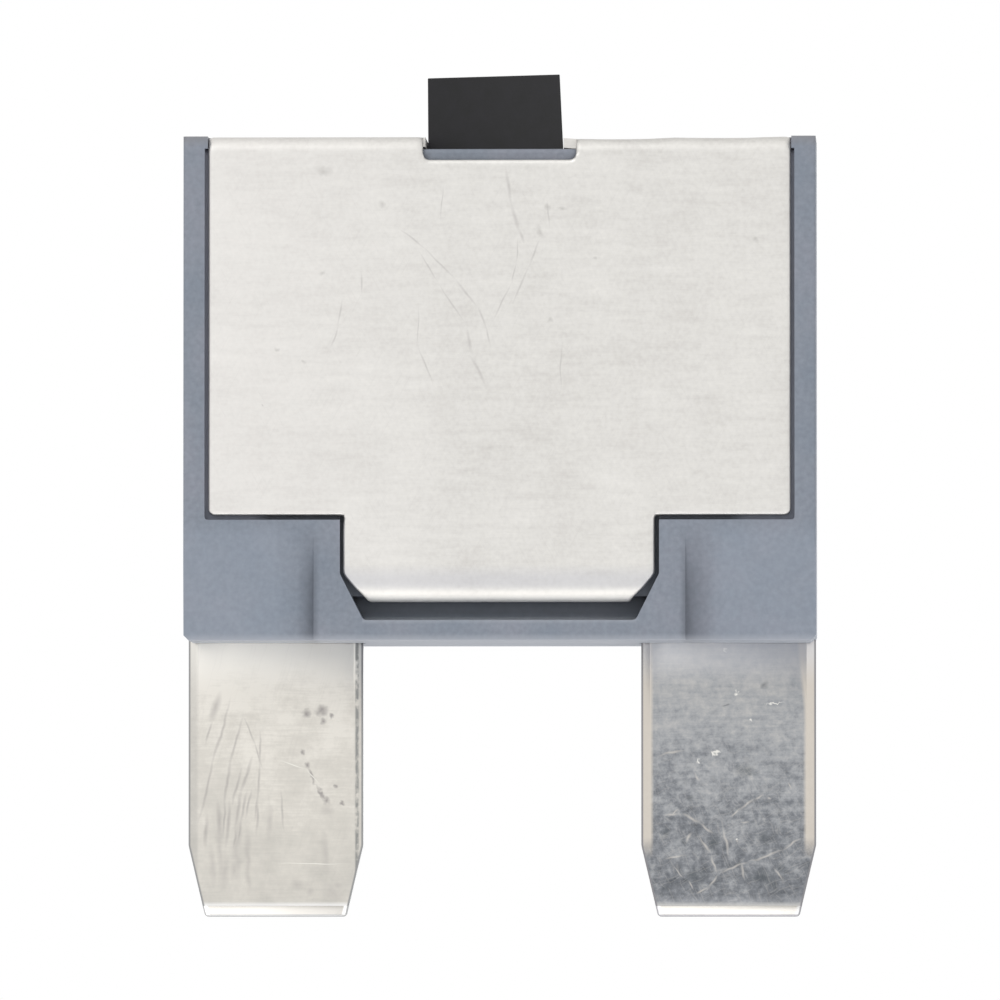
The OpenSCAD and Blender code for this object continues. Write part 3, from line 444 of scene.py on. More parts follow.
def bright_tin_plate():
    """Bright tin on brass, stamped: cream white and painted brightest next to the case, as painted
    light, with rolling lines, rub marks from a socket down the outer half, and a dull stained
    inner edge."""
    made, tree, mm = new_material("bright_tin_plate")
    place = node(tree, "SeparateXYZ", {0: mm})
    up = place.outputs["Z"]
    along = node(tree, "Mapping", {"Vector": mm, "Scale": (0.6, 8.0, 8.0)})
    lines = node(tree, "TexNoise", {"Vector": along, "Scale": 1.0, "Detail": 5.0,
                                    "Roughness": 0.7})
    cloud = node(tree, "TexNoise", {"Vector": mm, "Scale": 0.7, "Detail": 8.0, "Roughness": 0.72})
    tone = node(tree, "Math", {0: lines, 1: 0.45, 2: cloud}, operation="MULTIPLY_ADD")
    # a little greyer towards the tip
    low = node(tree, "MapRange", {"Value": up}, span=(-12.5, 0.0, 0.44, 0.66))
    whole = node(tree, "Math", {0: tone, 1: 0.5, 2: low}, operation="MULTIPLY_ADD")
    colour = node(tree, "ValToRGB", {"Fac": whole},
                  stops=[(0.7, "#C7C4BD"), (0.9, "#DAD6CE"), (1.0, "#E8E4DC")])
    # painted light: the blade is painted brighter next to the case
    painted_light_near_case = node(tree, "MapRange", {"Value": up}, span=(-2.6, -0.1),
                   interpolation_type="SMOOTHSTEP")

    wavering = wandering(tree, mm, 1.2, 0.06)
    rub_and_highlight = strokes(tree, wandering(tree, mm, 0.8, 0.05), -blade_half, RUB_MARKS, soft=0.0)
    smeared = strokes(tree, wandering(tree, mm, 0.8, 0.1), -blade_half, SMEARS, soft=0.0)
    grimed = strokes(tree, wandering(tree, mm, 0.25, 0.08), -blade_half, GRIME_SPOTS, soft=0.05)
    bright = strokes(tree, wavering, -blade_half, BRIGHT_LINES, soft=0.2)
    hair = hair_scratches(tree, wavering, 3.0, 0.09, 74.0, 0.2)
    hairs = node(tree, "Math", {0: hair, 1: 0.06}, operation="MULTIPLY")
    rubs = node(tree, "Math", {0: hairs, 1: rub_and_highlight}, operation="MAXIMUM")
    smears = node(tree, "Math", {0: smeared, 1: 0.55}, operation="MULTIPLY")
    marks = node(tree, "Math", {0: smears, 1: rubs}, operation="MAXIMUM")

    # the stain along the inner edge, broken up along its length
    inner = node(tree, "MapRange", {"Value": place.outputs["X"]},
                 span=(-blade_in - 0.4, -blade_in - 0.32))
    outer = node(tree, "MapRange", {"Value": place.outputs["X"]},
                 span=(-blade_in - 0.16, -blade_in - 0.24))
    strip = node(tree, "Math", {0: inner, 1: outer}, operation="MULTIPLY")
    down = node(tree, "Mapping", {"Vector": mm, "Scale": (3.0, 3.0, 1.6)})
    patchy = node(tree, "TexNoise", {"Vector": down, "Scale": 1.0, "Detail": 5.0,
                                     "Roughness": 0.65})
    broken = node(tree, "MapRange", {"Value": patchy}, span=(0.38, 0.54))
    stain = node(tree, "Math", {0: strip, 1: broken}, operation="MULTIPLY")
    # the coining die dulled the outer edge
    coined = node(tree, "MapRange", {"Value": place.outputs["X"]},
                  span=(0.5 - blade_out, 0.35 - blade_out, 0.0, 0.4))
    rim, tip, painted_tip_highlight, shine = blade_bands(tree, place, -blade_out, -blade_in)
    last = layered(tree, colour, [
        (painted_light_near_case, 1, "#FBF8F1"), (marks, 0.56, "#A29D9C"), (grimed, 0.68, "#787276"),
        (bright, 1, "#F0EEE6"), (stain, 0.85, "#8A8C8B"), (coined, 1, "#B4B2AE"),
        (painted_tip_highlight, 1, "#FFFFFF"), (tip, 1, shine), (rim, 1, "#9C9C9C")])
    rough = node(tree, "MapRange", {"Value": cloud}, span=(0.0, 1.0, 0.28, 0.42))
    grain = node(tree, "Bump", {"Height": lines, "Strength": 0.2, "Distance": 0.008 * MM})
    return finished(made, Base_Color=last, Metallic=1.0, Roughness=rough, Normal=grain)


# dark blotches on the right blade
DARK_BLOTCHES = [
    (9.5, -9.0, 10.1, -9.6, 0.8), (11.35, -5.9, 11.5, -6.3, 0.45), (12.0, -1.9, 12.4, -2.1, 0.5),
    (10.25, -2.9, 10.6, -2.9, 0.16), (9.1, -10.5, 9.5, -10.9, 0.55),
    (11.3, -10.8, 12.1, -11.0, 0.7), (12.6, -10.2, 13.1, -10.5, 0.6), (7.3, -8.6, 7.7, -9.1, 0.6),
    (8.5, -7.3, 8.9, -7.0, 0.5), (8.2, -9.1, 8.6, -9.3, 0.4), (8.6, -10.4, 9.2, -11.2, 1.1),
    (11.6, -10.6, 12.8, -11.2, 1.0), (9.6, -8.9, 9.9, -9.7, 0.6), (11.9, -8.8, 12.4, -9.2, 0.7),
    (10.6, -5.8, 11.9, -6.0, 0.9)]

# pale scratches on the right blade
PALE_SCRATCHES = [
    (10.0, -10.7, 11.5, -10.1, 0.16), (11.3, -10.15, 13.1, -9.55, 0.17),
    (12.9, -9.65, 13.9, -8.95, 0.13), (10.2, -8.3, 10.45, -10.1, 0.15),
    (8.3, -7.8, 9.2, -8.45, 0.16), (9.0, -8.35, 9.85, -8.85, 0.16),
    (9.0, -8.85, 9.75, -9.85, 0.12), (9.7, -9.75, 10.0, -10.75, 0.13),
    (7.1, -5.2, 8.6, -4.92, 0.16), (10.0, -10.7, 9.5, -11.45, 0.13),
    (9.6, -11.4, 8.9, -11.65, 0.13), (11.12, -10.1, 11.2, -11.1, 0.14),
    (7.4, -7.97, 8.3, -7.86, 0.11), (7.4, -9.93, 8.6, -9.87, 0.1), (10.9, -7.8, 11.7, -7.2, 0.17),
    (8.9, -6.0, 9.15, -6.5, 0.13), (12.3, -7.1, 12.5, -7.2, 0.14),
    (11.48, -3.48, 11.58, -3.6, 0.1), (10.84, -9.06, 10.98, -9.15, 0.13),
    (13.3, -6.4, 13.35, -6.8, 0.1), (11.0, -8.2, 11.5, -8.3, 0.09),
    (8.45, -9.3, 8.75, -8.8, 0.18), (7.64, -8.07, 8.24, -7.6, 0.09),
    (10.5, -8.1, 11.1, -7.6, 0.1), (11.6, -7.3, 12.2, -6.95, 0.09),
    (12.5, -10.4, 13.0, -11.1, 0.1), (7.9, -10.3, 8.5, -10.9, 0.09),
    (8.6, -11.0, 8.9, -11.5, 0.12)]

# bright specks on the right blade
BRIGHT_SPECKS = [
    (12.15, -2.87, 13.15, -2.69, 0.09), (9.74, -5.13, 10.12, -5.02, 0.3),
    (9.74, -5.0, 9.8, -5.25, 0.16), (10.74, -2.3, 10.96, -2.36, 0.24),
    (10.24, -0.3, 10.41, -0.36, 0.2), (9.04, -5.43, 9.18, -5.52, 0.14),
    (11.5, -3.48, 11.55, -3.6, 0.1), (10.84, -9.06, 10.98, -9.15, 0.12)]


def mottled_tin_with_painted_reflection():
    """Tin on brass, mottled grey and partly a painted reflection of darker surroundings: darker
    and bluer in patches towards the tip, with pale scratches and specks, and pale bands along the
    coined edges."""
    made, tree, mm = new_material("mottled_tin_with_painted_reflection")
    place = node(tree, "SeparateXYZ", {0: mm})
    up = place.outputs["Z"]
    along = node(tree, "Mapping", {"Vector": mm, "Scale": (0.5, 6.0, 6.0)})
    lines = node(tree, "TexNoise", {"Vector": along, "Scale": 1.0, "Detail": 4.0,
                                    "Roughness": 0.7})
    blotch = node(tree, "TexNoise", {"Vector": mm, "Scale": 0.75, "Detail": 3.0})
    patches = node(tree, "TexNoise", {"Vector": wandering(tree, mm, 0.8, 0.06), "Scale": 2.4,
                                      "Detail": 8.0, "Roughness": 0.7})
    low = node(tree, "MapRange", {"Value": up}, span=(-11.0, -1.0, 0.33, 0.8))
    contrast = node(tree, "MapRange", {"Value": up}, span=(-7.5, -2.5, 1.55, 0.9))
    patched = node(tree, "Math", {0: patches, 1: 0.71}, operation="SUBTRACT")
    uneven = node(tree, "Math", {0: blotch, 1: 0.4, 2: patched}, operation="MULTIPLY_ADD")
    mottle = node(tree, "Math", {0: uneven, 1: contrast, 2: low}, operation="MULTIPLY_ADD")
    lined = node(tree, "Math", {0: lines, 1: 0.5}, operation="SUBTRACT")
    streaks = node(tree, "Math", {0: lined, 1: 0.45, 2: mottle}, operation="MULTIPLY_ADD")
    # painted reflection: these greys are darker and bluer than the other blade's tin
    colour = node(tree, "ValToRGB", {"Fac": streaks}, stops=[
        (0.0, "#5C6065"), (0.35, "#83868B"), (0.65, "#A8AAAD"), (1.0, "#C8C6C3")])

    dark = strokes(tree, wandering(tree, mm, 0.5, 0.15), -blade_half, DARK_BLOTCHES, soft=0.0)
    pale = strokes(tree, wandering(tree, mm, 0.7, 0.09), -blade_half, PALE_SCRATCHES, soft=0.1)
    fleck = strokes(tree, wandering(tree, mm, 0.2, 0.1), -blade_half, BRIGHT_SPECKS, soft=0.35)
    hair = hair_scratches(tree, wandering(tree, mm, 1.0, 0.12), 0.9, 0.07, 24.0, 0.2)
    cross = hair_scratches(tree, wandering(tree, mm, 0.9, 0.12), 0.7, 0.07, 118.0, 0.2)
    both = node(tree, "Math", {0: hair, 1: cross}, operation="MAXIMUM")
    lower = node(tree, "MapRange", {"Value": up}, span=(-8.0, -4.0, 0.2, 0.1))
    hairs = node(tree, "Math", {0: both, 1: lower}, operation="MULTIPLY")
    light = node(tree, "Math", {0: hairs, 1: pale}, operation="MAXIMUM")

    # bands along the long edges, wider at the top of the outer one, down to the taper
    flare = node(tree, "MapRange", {"Value": up}, span=(-3.5, 0.3, 0.0, 0.3),
                 interpolation_type="SMOOTHSTEP")
    near_out = node(tree, "Math", {0: place.outputs["X"], 1: flare}, operation="ADD")
    band_out = node(tree, "MapRange", {"Value": near_out},
                    span=(blade_out - 0.6, blade_out - 0.44))
    band_in = node(tree, "MapRange", {"Value": place.outputs["X"]},
                   span=(blade_in + 0.58, blade_in + 0.42))
    either = node(tree, "Math", {0: band_out, 1: band_in}, operation="MAXIMUM")
    above = node(tree, "MapRange", {"Value": up}, span=(-10.0, -9.0))
    band = node(tree, "Math", {0: either, 1: above}, operation="MULTIPLY")
    # painted light next to the case, and a pale haze above the tip
    painted_light_near_case = node(tree, "MapRange", {"Value": up}, span=(-2.2, -0.1, 0.0, 0.6),
                   interpolation_type="SMOOTHSTEP")
    haze = node(tree, "MapRange", {"Value": up}, span=(-11.6, -12.15, 0.0, 0.25))
    case_light_and_haze = node(tree, "Math", {0: painted_light_near_case, 1: haze}, operation="MAXIMUM")
    rim, tip, painted_tip_highlight, shine = blade_bands(tree, place, blade_in, blade_out)
    last = layered(tree, colour, [
        (dark, 0.65, "#565C60"), (light, 0.7, "#D2CDC6"), (fleck, 1, "#EDEBE5"),
        (band, 0.9, "#DAD2C7"), (case_light_and_haze, 1, "#E3E4E8"), (painted_tip_highlight, 1, "#D0CFCC"),
        (tip, 1, shine), (rim, 1, "#8F8E91")])
    rough = node(tree, "MapRange", {"Value": patches}, span=(0.0, 1.0, 0.26, 0.42))
    grain = node(tree, "Bump", {"Height": light, "Strength": 0.3, "Distance": 0.008 * MM})
    return finished(made, Base_Color=last, Metallic=1.0, Roughness=rough, Normal=grain)


def plain_metal(name, code, roughness):
    """A satin metal for the pieces inside, a little uneven in its gloss."""
    made, tree, mm = new_material(name)
    cloud = node(tree, "TexNoise", {"Vector": mm, "Scale": 3.0, "Detail": 4.0})
    rough = node(tree, "MapRange", {"Value": cloud},
                 span=(0.0, 1.0, roughness - 0.06, roughness + 0.06))
    grain = node(tree, "Bump", {"Height": cloud, "Strength": 0.2, "Distance": 0.005 * MM})
    return finished(made, Base_Color=tint(code), Metallic=1.0, Roughness=rough, Normal=grain)


# ---- sizes, in millimetres ----

def reach(name):
    """Lowest and highest corner of a CAD node in millimetres."""
    low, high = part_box(name)
    return np.array(low) / MM, np.array(high) / MM


case_half, case_face, case_top = reach("rear_case")[1]
cover_low, cover_high = reach("cover_clip")
cover_face = cover_high[1]
cover_top = cover_high[2]
cover_foot = cover_low[2]
cover_half = cover_high[0] + 0.03
shoulder_foot = 5.74
blade_out, blade_half, _ = reach("right_terminal")[1]
blade_in = blade_out - 8.1
blade_end = -12.68
# the end of a blade tapers by this much at each side, over this height
taper_w, taper_h = 0.78, 3.3

polyester = moulded_polyester()
aluminium = rolled_aluminium()
nylon = moulded_nylon()
bright_tin = bright_tin_plate()
tin_with_painted_reflection = mottled_tin_with_painted_reflection()
# contacts headed from silver alloy, a strip rolled from two metals, springs drawn from steel
# wire, whose steel the clamp plate shares, and rivets and a screw turned from brass
silver = plain_metal("silver_alloy", "#E2DFD8", 0.3)
bimetal = plain_metal("rolled_bimetal", "#BDB7AC", 0.35)
wire = plain_metal("drawn_spring_wire", "#C4C6C9", 0.25)
brass = plain_metal("turned_brass", "#CDB070", 0.3)


# ---- pieces ----

def add_piece(name, mesh, finish, stood_for):
    """Puts a mesh in the scene in one finish, as a piece that stands for a CAD node."""
    mesh.materials.clear()
    mesh.materials.append(finish)
    piece = bpy.data.objects.new(name, mesh)
    scene.collection.objects.link(piece)
    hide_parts(stood_for)
    return piece


def dressed(name, body, finish, width, share, segments=2):
    """A copy of a CAD node with its triangles joined into faces and its edges rounded: those
    that turn by 30 degrees, and by 4 where both faces are over 2 square millimetres, so that
    no round is cut up. share takes the middles of the edges in millimetres and gives each
    one's part of width."""
    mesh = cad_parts[name].data.copy()
    shape = bmesh.new()
    shape.from_mesh(mesh)
    bmesh.ops.remove_doubles(shape, verts=shape.verts, dist=1e-3 * MM)
    bmesh.ops.dissolve_limit(shape, angle_limit=math.radians(0.3), verts=shape.verts,
                             edges=shape.edges)
    for face in shape.faces:
        face.smooth = True
    turns = np.array([math.degrees(edge.calc_face_angle(0.0)) for edge in shape.edges])
    areas = np.array([min((face.calc_area() for face in edge.link_faces), default=0.0)
                      for edge in shape.edges])
    ends = np.array([(*edge.verts[0].co, *edge.verts[1].co) for edge in shape.edges])
    middles = (ends[:, :3] + ends[:, 3:]) / 2 / MM
    shape.to_mesh(mesh)
    shape.free()
    rounded = (turns > 30) | (turns > 4) & (areas > 2 * MM ** 2)
    weights = np.where(rounded, share(middles), 0.0)
    mesh.attributes.new("bevel_weight_edge", "FLOAT", "EDGE").data.foreach_set(
        "value", weights.astype(np.float32))
    piece = add_piece(name + "_dressed", mesh, finish, name)
    rounding = piece.modifiers.new("rounding", "BEVEL")
    rounding.width = width
    rounding.segments = segments
    rounding.limit_method = "WEIGHT"
    rounding.harden_normals = True
    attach(piece, body)
    return piece


def case_rounding(middles):
    """Full along the lower edges of the case's front and rear, along the foot of the tongue's
    pocket and at the upper right corner, three quarters round the rest of the cover's recess,
    a third along the seam outside, a sixth elsewhere."""
    x, y, z = middles.T
    across, depth = np.abs(x), np.abs(y)
    on_face, at_foot = depth > case_face - 0.1, np.abs(z) < 0.02
    lower_edge = at_foot & (depth > case_face - 0.6)
    pocket_foot = on_face & (z > 0.8) & (z < 1.05) & (across < 6.0)
    upper_right = (x > case_half - 0.3) & (z > case_top - 0.1)
    recess = on_face & (z > 0.9) & (z < case_top - 0.6) & (across < case_half - 0.9)
    seam = (depth < 0.01) & ((across > case_half - 0.1) | at_foot)
    return np.select([lower_edge | pocket_foot | upper_right, recess, seam],
                     [1.0, 0.76, 0.37], 0.17)


def even(middles):
    """The whole width along every edge."""
    return np.ones(len(middles))


def narrow_behind(mesh):
    """Draws the flanks of the button's head in towards the back, as the tool's draft does: by
    nothing at its front, by the whole draft at its back, and in proportion between. The
    middle that they are drawn in to leans about the pivot, as the button does."""
    lean, pivot = math.radians(1.6), 14.3 * MM
    half_depth, head_foot, flank_from, draft = np.array([3.0, 18.0, 2.5, 0.12]) * MM
    points = np.empty(len(mesh.vertices) * 3, dtype=np.float32)
    mesh.vertices.foreach_get("co", points)
    x, y, z = points.reshape(-1, 3).T
    leaned = x - (pivot - z) * math.sin(lean)
    back = ((y + half_depth) / (2 * half_depth)).clip(0, 1)
    flank = (z > head_foot) & (np.abs(leaned) > flank_from)
    x -= np.where(flank, np.sign(leaned) * back * draft, 0)
    mesh.vertices.foreach_set("co", points)


def sheet_faces(faces, count):
    """Both sides of a sheet whose second layer of points comes count after the first, and the
    walls along the edges that only one cell has."""
    edges = np.stack([faces, np.roll(faces, -1, axis=1)], axis=-1).reshape(-1, 2)
    _, first, uses = np.unique(np.sort(edges, axis=1), axis=0, return_index=True,
                               return_counts=True)
    start, end = edges[first[uses == 1]].T
    walls = np.stack([end, start, start + count, end + count], axis=1)
    return np.concatenate([faces, faces[:, ::-1] + count, walls])


def grid_faces(rows, columns, kept):
    """Corner numbers of the cells of a rows by columns grid of points, where kept is true."""
    numbers = np.arange(rows * columns).reshape(rows, columns)
    cells = np.stack([numbers[:-1, :-1], numbers[:-1, 1:], numbers[1:, 1:], numbers[1:, :-1]],
                     axis=-1)
    return cells[kept]


def mesh_from(name, points, faces):
    """A smooth mesh from points in millimetres and faces of four corners; loose points go."""
    used, faces = np.unique(faces, return_inverse=True)
    mesh = bpy.data.meshes.new(name)
    mesh.from_pydata((points.reshape(-1, 3)[used] * MM).tolist(), [],
                     faces.reshape(-1, 4).tolist())
    mesh.shade_smooth()
    return mesh


def spread(*stops):
    """Grid lines through all the stops, each stop given as (place, steps since the last)."""
    lines = [stops[0][0]]
    for (start, _), (end, steps) in zip(stops, stops[1:]):
        lines += np.linspace(start, end, steps + 1)[1:].tolist()
    return np.array(lines)


def folded_cover():
    """The cover as one sheet, folded over the top of the case and hooked under both faces.

    One grid serves the whole blank: columns run across it, and rows along it, counted from the
    middle of the web. Cells are left out in the button's slot, in the notches, beside the
    tongues and at the lugs of the case. Rows bend to round the corners: by
    r - sqrt(r^2 - t^2), t being the distance into the round. Columns draw in where a tongue
    tapers. The length along the blank then turns into depth and height: flat over the top, a
    quarter turn, straight down the face, a quarter turn, and flat under the ledge. The web
    sags by up to 0.12 mm, and the faces wave by up to 0.02. Last, the outside falls away to
    the sheared edges in an ellipse, and the inside lies one sheet's thickness behind."""
    sheet, fall, fall_depth = 0.45, 0.27, 0.13
    top_r, hook_r, hook_reach = 0.7, 0.65, 2.0
    notch, notch_low, notch_r = 3.525, cover_top - 1.08, 0.3
    slot_left, slot_right = -3.427, 2.942
    tongue, root_r, corner_r = 7.14, 0.12, 0.32
    cut_w, cut_h = 1.08, 1.25
    lug_gap = 0.3
    # rows that bend to a round are straight again this far on, and this far under a shoulder
    settled, settled_under = 1.5, 0.8
    # lengths along the blank
    web = cover_face - top_r
    face = web + top_r * math.pi / 2
    hook = face + cover_top - top_r - cover_foot - hook_r
    under = hook + hook_r * math.pi / 2
    end = under + hook_reach - hook_r
    notch_s = face + cover_top - top_r - notch_low
    shoulder_s = face + cover_top - top_r - shoulder_foot
    taper_s = face + cover_top - top_r - cover_foot - cut_h
    down = spread((0, 0), (web - lug_gap, 6), (web, 1), (face, 8), (notch_s, 1),
                  (notch_s + fall, 5), (notch_s + settled, 3), (shoulder_s - settled, 13),
                  (shoulder_s - fall, 4), (shoulder_s, 5), (taper_s - 0.2, 4), (hook, 5),
                  (under, 10), (end, 2))
    rows = np.concatenate([-down[:0:-1], down])

    arc = np.sin(np.linspace(0, math.pi / 2, 6))
    outer = np.concatenate([
        spread((notch, 0), (notch + fall, 4), (tongue - fall, 3), (tongue, 5)),
        tongue + root_r * (1 - arc[::-1]),
        spread((tongue + root_r, 0), (cover_half - corner_r, 7)),
        cover_half - corner_r + corner_r * arc])
    # the slot ends within the left notch's round, so the lines there stand closer
    columns = np.unique(np.round(np.concatenate([
        -outer, notch_r - notch - 0.8 * notch_r * arc[:-1], [slot_left],
        spread((notch_r - notch, 0), (slot_right, 6), (notch - notch_r, 1)),
        notch - notch_r + notch_r * arc, outer]), 5))
    s, x = np.meshgrid(rows, columns, indexing="ij")
    side, away = np.abs(s), np.abs(x)

    def drop(into, radius):
        """How far a round of this radius has left its tangent, this far into the round."""
        into = np.clip(into, 0, radius)
        return radius - np.sqrt(radius ** 2 - into ** 2)

    near_notch = np.where(side < notch_s, 1 - (notch_s - side) / (notch_s - face),
                          1 - (side - notch_s) / settled).clip(0, 1)
    lift = np.where(away <= notch, drop(away - notch + notch_r, notch_r),
                    notch_r * (1 - (away - notch) / settled).clip(0, 1))
    near_shoulder = np.where(side < shoulder_s, 1 - (shoulder_s - side) / settled,
                             1 - (side - shoulder_s) / settled_under).clip(0, 1)
    sink = (np.where(away >= tongue, drop(tongue + root_r - away, root_r),
                     root_r * (1 - (tongue - away) / settled_under).clip(0, 1))
            - drop(away - cover_half + corner_r, corner_r))
    length = side - lift * near_notch + sink * near_shoulder

    # the taper sets in gently, and follows the height even round the hook
    past = length - taper_s
    ease = 0.14
    drawn_in = np.where(past < -ease, 0.0,
                        np.where(past > ease, past, (past + ease) ** 2 / (4 * ease)))
    height_past = np.minimum(drawn_in, hook - taper_s + hook_r * np.sin(
        ((drawn_in - hook + taper_s) / hook_r).clip(0, math.pi / 2)))
    x_real = x * np.where(length > shoulder_s + 0.2, 1 - height_past * cut_w / cut_h / tongue, 1.0)
    # the tongue was cut a little wider on the left
    x_real -= 0.06 * ((-x - 3) / 4).clip(0, 1) * ((length - shoulder_s) / 0.3).clip(0, 1)

    top_turn = ((length - web) / top_r).clip(0, math.pi / 2)
    hook_turn = ((length - hook) / hook_r).clip(0, math.pi / 2)
    y = (np.minimum(length, web) + top_r * np.sin(top_turn) - hook_r * (1 - np.cos(hook_turn))
         - (length - under).clip(0))
    z = (cover_top - top_r * (1 - np.cos(top_turn)) - (length.clip(face, hook) - face)
         - hook_r * np.sin(hook_turn))
    # the web sags towards the front and the rear, most of all 5 mm right of its middle
    sag = 0.12 * np.exp(-((x - 5.3) / 2.4) ** 4) + 0.06 * np.exp(-((x - 10.2) / 2.0) ** 4)
    z -= sag * (1 - (length - web) / 1.0).clip(0, 1) * (length / web).clip(0, 1) ** 2
    wave = 0.012 * (np.sin(0.55 * x + 0.4) * np.sin(0.42 * z + 1.1)
                    + 0.6 * np.sin(0.9 * x - 0.7 * z))
    y += wave * ((length - face) / 2).clip(0, 1) * ((hook - length) / 2).clip(0, 1)

    # distance to the nearest sheared edge, or far from all of them
    far = np.full(s.shape, 9.0)
    gap = np.minimum.reduce([
        cover_half - away,
        np.where((away >= tongue) & (side <= shoulder_s), shoulder_s - side, far),
        np.where((away <= tongue) & (side >= shoulder_s), tongue - away, far),
        np.where((away <= notch) & (side >= notch_s), side - notch_s, far),
        np.where((away >= notch) & (side <= notch_s) & (side >= web), away - notch, far)])
    fallen = fall_depth * drop(1 - gap / fall, 1.0)
    out_y = np.sin(top_turn) * np.cos(hook_turn)
    out_z = np.cos(top_turn) - np.sin(hook_turn)
    outside = (x_real, y - fallen * out_y, z - fallen * out_z)
    inside = (x_real, y - sheet * out_y, z - sheet * out_z)

    middle_s, middle_x = (side[:-1, :-1] + side[1:, 1:]) / 2, (x[:-1, :-1] + x[1:, 1:]) / 2
    in_slot = (middle_x > slot_left) & (middle_x < slot_right) & (middle_s < notch_s)
    in_notch = (np.abs(middle_x) < notch) & (middle_s > web) & (middle_s < notch_s)
    beside = (np.abs(middle_x) > tongue) & (middle_s > shoulder_s)
    at_lug = (np.abs(middle_x) > cover_half - corner_r) & (middle_s < web - lug_gap)
    points = np.stack([np.stack([u, np.where(s < 0, -v, v), w], axis=-1)
                       for u, v, w in (outside, inside)])
    faces = grid_faces(len(rows), len(columns), ~(in_slot | in_notch | beside | at_lug))
    mesh = mesh_from("folded_cover", points, sheet_faces(faces, s.size))
    mesh.set_sharp_from_angle(angle=math.radians(50))
    piece = add_piece("folded_cover", mesh, aluminium, "cover_clip")
    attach(piece, "housing")


def coil(name, stood_for, x, low, high, outside, gauge, turns):
    """A spring: a round wire carried along a helix whose end turns lie closed, the wire's
    section upright through the axis. The rise is a straight line in the turn between the two
    closed turns, and both ends are closed by drawing the last ring in to a point."""
    wire_r, coil_r = gauge / 2, (outside - gauge) / 2
    around = 10
    turn = np.linspace(0, turns, 40 * turns + 1)
    climb = high - low - gauge
    closed = 1.1 * gauge / climb
    rise = np.interp(turn, [0, 1, turns - 1, turns], [0, closed, 1 - closed, 1])
    angle, section = np.meshgrid(2 * math.pi * turn,
                                 np.linspace(0, 2 * math.pi, around + 1)[:-1], indexing="ij")
    wire_here = np.full((len(turn), 1), wire_r)
    wire_here[[0, -1]] *= 1e-3
    radius = coil_r + wire_here * np.cos(section)
    z = low + wire_r + climb * rise[:, None] + wire_here * np.sin(section)
    points = np.stack([x + radius * np.cos(angle), radius * np.sin(angle), z], axis=-1)
    ring = np.arange(around)
    start = np.arange(len(turn) - 1)[:, None] * around
    faces = np.stack([start + ring, start + around + ring, start + around + (ring + 1) % around,
                      start + (ring + 1) % around], axis=-1).reshape(-1, 4)
    piece = add_piece(name, mesh_from(name, points, faces), wire, stood_for)
    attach(piece, "housing")
    return piece


for case in ("front_case", "rear_case"):
    dressed(case, "housing", polyester, 0.3 * MM, case_rounding, segments=3)
cap = dressed("reset_button", "button", nylon, 0.05 * MM, even)
narrow_behind(cap.data)
dressed("left_terminal", "housing", bright_tin, 0.03 * MM, even)
dressed("right_terminal", "housing", tin_with_painted_reflection, 0.03 * MM, even)
folded_cover()

for side in ("left", "right"):
    low, high = reach(side + "_reset_spring")
    spring = coil(side + "_coil", side + "_reset_spring", (low[0] + high[0]) / 2, low[2], high[2],
                  high[0] - low[0], gauge=0.28, turns=6)
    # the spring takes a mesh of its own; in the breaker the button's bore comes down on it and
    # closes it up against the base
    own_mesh(spring)

inner_finishes = {"fixed_contact": silver, "moving_contact": silver, "bimetal_strip": bimetal,
                  "clamp_plate": wire, "upper_clamp_rivet": brass, "lower_clamp_rivet": brass,
                  "calibration_screw": brass}
for name, finish in inner_finishes.items():
    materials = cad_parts[name].data.materials
    materials.clear()
    materials.append(finish)


# ---- stage, light and camera, in metres ----

MIDDLE = Vector((0.0, 0.0, 6.5)) * MM
# the eye is 625 mm in front of the face, a little right of the middle and below the seat
EYE = Vector((14.55, -631.0, -15.54)) * MM
AIM = Vector((0.03, -6.0, 6.44)) * MM
# how much of the width at the aim the camera takes in
VIEW_WIDTH = 45.977 * MM


def floor_plane(z, half):
    """A square floor, seen from above only. To the eye and in reflections it glows a little."""
    made = bpy.data.materials.new("pale_floor")
    tree = emptied(made)
    rays = node(tree, "LightPath")
    looked_at = node(tree, "Math", {0: rays.outputs["Is Camera Ray"],
                                    1: rays.outputs["Is Glossy Ray"]}, operation="MAXIMUM")
    seen = node(tree, "Math", {0: looked_at, 1: rays.outputs["Is Transmission Ray"]},
                operation="MAXIMUM")
    matt = node(tree, "BsdfDiffuse", {"Color": grey(0.8)})
    glow = node(tree, "Emission", {"Color": grey(1.0), "Strength": 0.45})
    lit = node(tree, "AddShader", {0: matt, 1: glow})
    top = node(tree, "MixShader", {0: seen, 1: matt, 2: lit})
    side = node(tree, "NewGeometry")
    clear = node(tree, "BsdfTransparent")
    whole = node(tree, "MixShader", {0: side.outputs["Backfacing"], 1: top, 2: clear})
    node(tree, "OutputMaterial", {"Surface": whole})
    mesh = bpy.data.meshes.new("floor")
    corners = np.array([(-1, -1), (1, -1), (1, 1), (-1, 1)]) * half
    mesh.from_pydata(np.c_[corners, np.full(4, z)].tolist(), [], [(0, 1, 2, 3)])
    mesh.materials.append(made)
    floor = bpy.data.objects.new("floor", mesh)
    scene.collection.objects.link(floor)


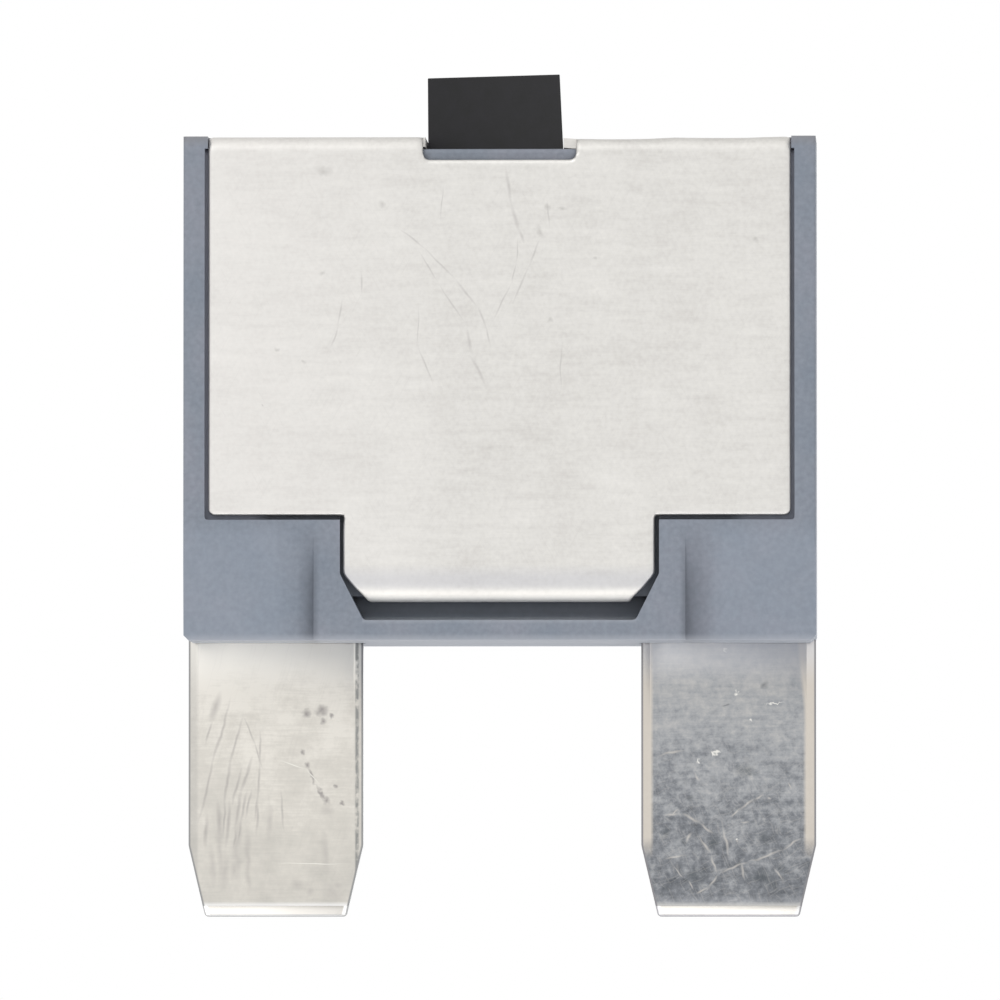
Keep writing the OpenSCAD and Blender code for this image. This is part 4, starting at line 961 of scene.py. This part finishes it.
def turned_to(name, data, place, aim):
    """Puts a lamp or a camera in the scene at place and turns it to aim."""
    holder = bpy.data.objects.new(name, data)
    scene.collection.objects.link(holder)
    holder.location = place
    holder.rotation_mode = "QUATERNION"
    holder.rotation_quaternion = (aim - place).to_track_quat("-Z", "Y")
    return holder


def soft_light(name, place, size, level):
    """A square soft box turned to the object's middle. level is what it adds there to a white
    card that faces it."""
    lamp = bpy.data.lights.new(name, "AREA")
    lamp.shape = "SQUARE"
    lamp.size = size
    lamp.energy = level * math.pi ** 2 * (MIDDLE - Vector(place)).length ** 2
    turned_to(name, lamp, Vector(place), MIDDLE)


def white_surroundings():
    """White all round to the eye. Reflections see it a little dimmer behind the object, and as
    light it is weaker again."""
    world = bpy.data.worlds.new("surroundings")
    scene.world = world
    tree = emptied(world)
    rays = node(tree, "LightPath")
    way = node(tree, "SeparateXYZ", {0: node(tree, "TexCoord").outputs["Generated"]})
    behind = node(tree, "MapRange", {"Value": way.outputs["Y"]}, span=(0.0, 0.7, 1.0, 0.78))
    mirrored = node(tree, "Math", {0: rays.outputs["Is Glossy Ray"],
                                   1: rays.outputs["Is Transmission Ray"]}, operation="MAXIMUM")
    level = node(tree, "MapRange", {"Value": mirrored}, span=(0.0, 1.0, 0.7, 1.0))
    dimmed = node(tree, "Math", {0: level, 1: behind}, operation="MULTIPLY")
    strength = node(tree, "Mix", {0: rays.outputs["Is Camera Ray"], 2: dimmed, 3: 1.0},
                    data_type="FLOAT")
    glow = node(tree, "Background", {"Color": grey(1.0), "Strength": strength})
    node(tree, "OutputWorld", {"Surface": glow})


floor_plane(-0.62, 3.0)
white_surroundings()
soft_light("front_left_box", (-0.4, -0.62, 0.72), 0.6, 0.16)
soft_light("low_front_box", (0.0, -0.27, -0.58), 0.54, 0.41)
soft_light("rear_box", (0.35, 0.9, 0.1), 0.6, 0.15)

lens = bpy.data.cameras.new("camera")
lens.sensor_width = 36.0
lens.lens = lens.sensor_width * (AIM - EYE).length / VIEW_WIDTH
lens.clip_start = 0.05
lens.clip_end = 10.0
scene.camera = turned_to("camera", lens, EYE, AIM)

scene.view_settings.view_transform = "Standard"
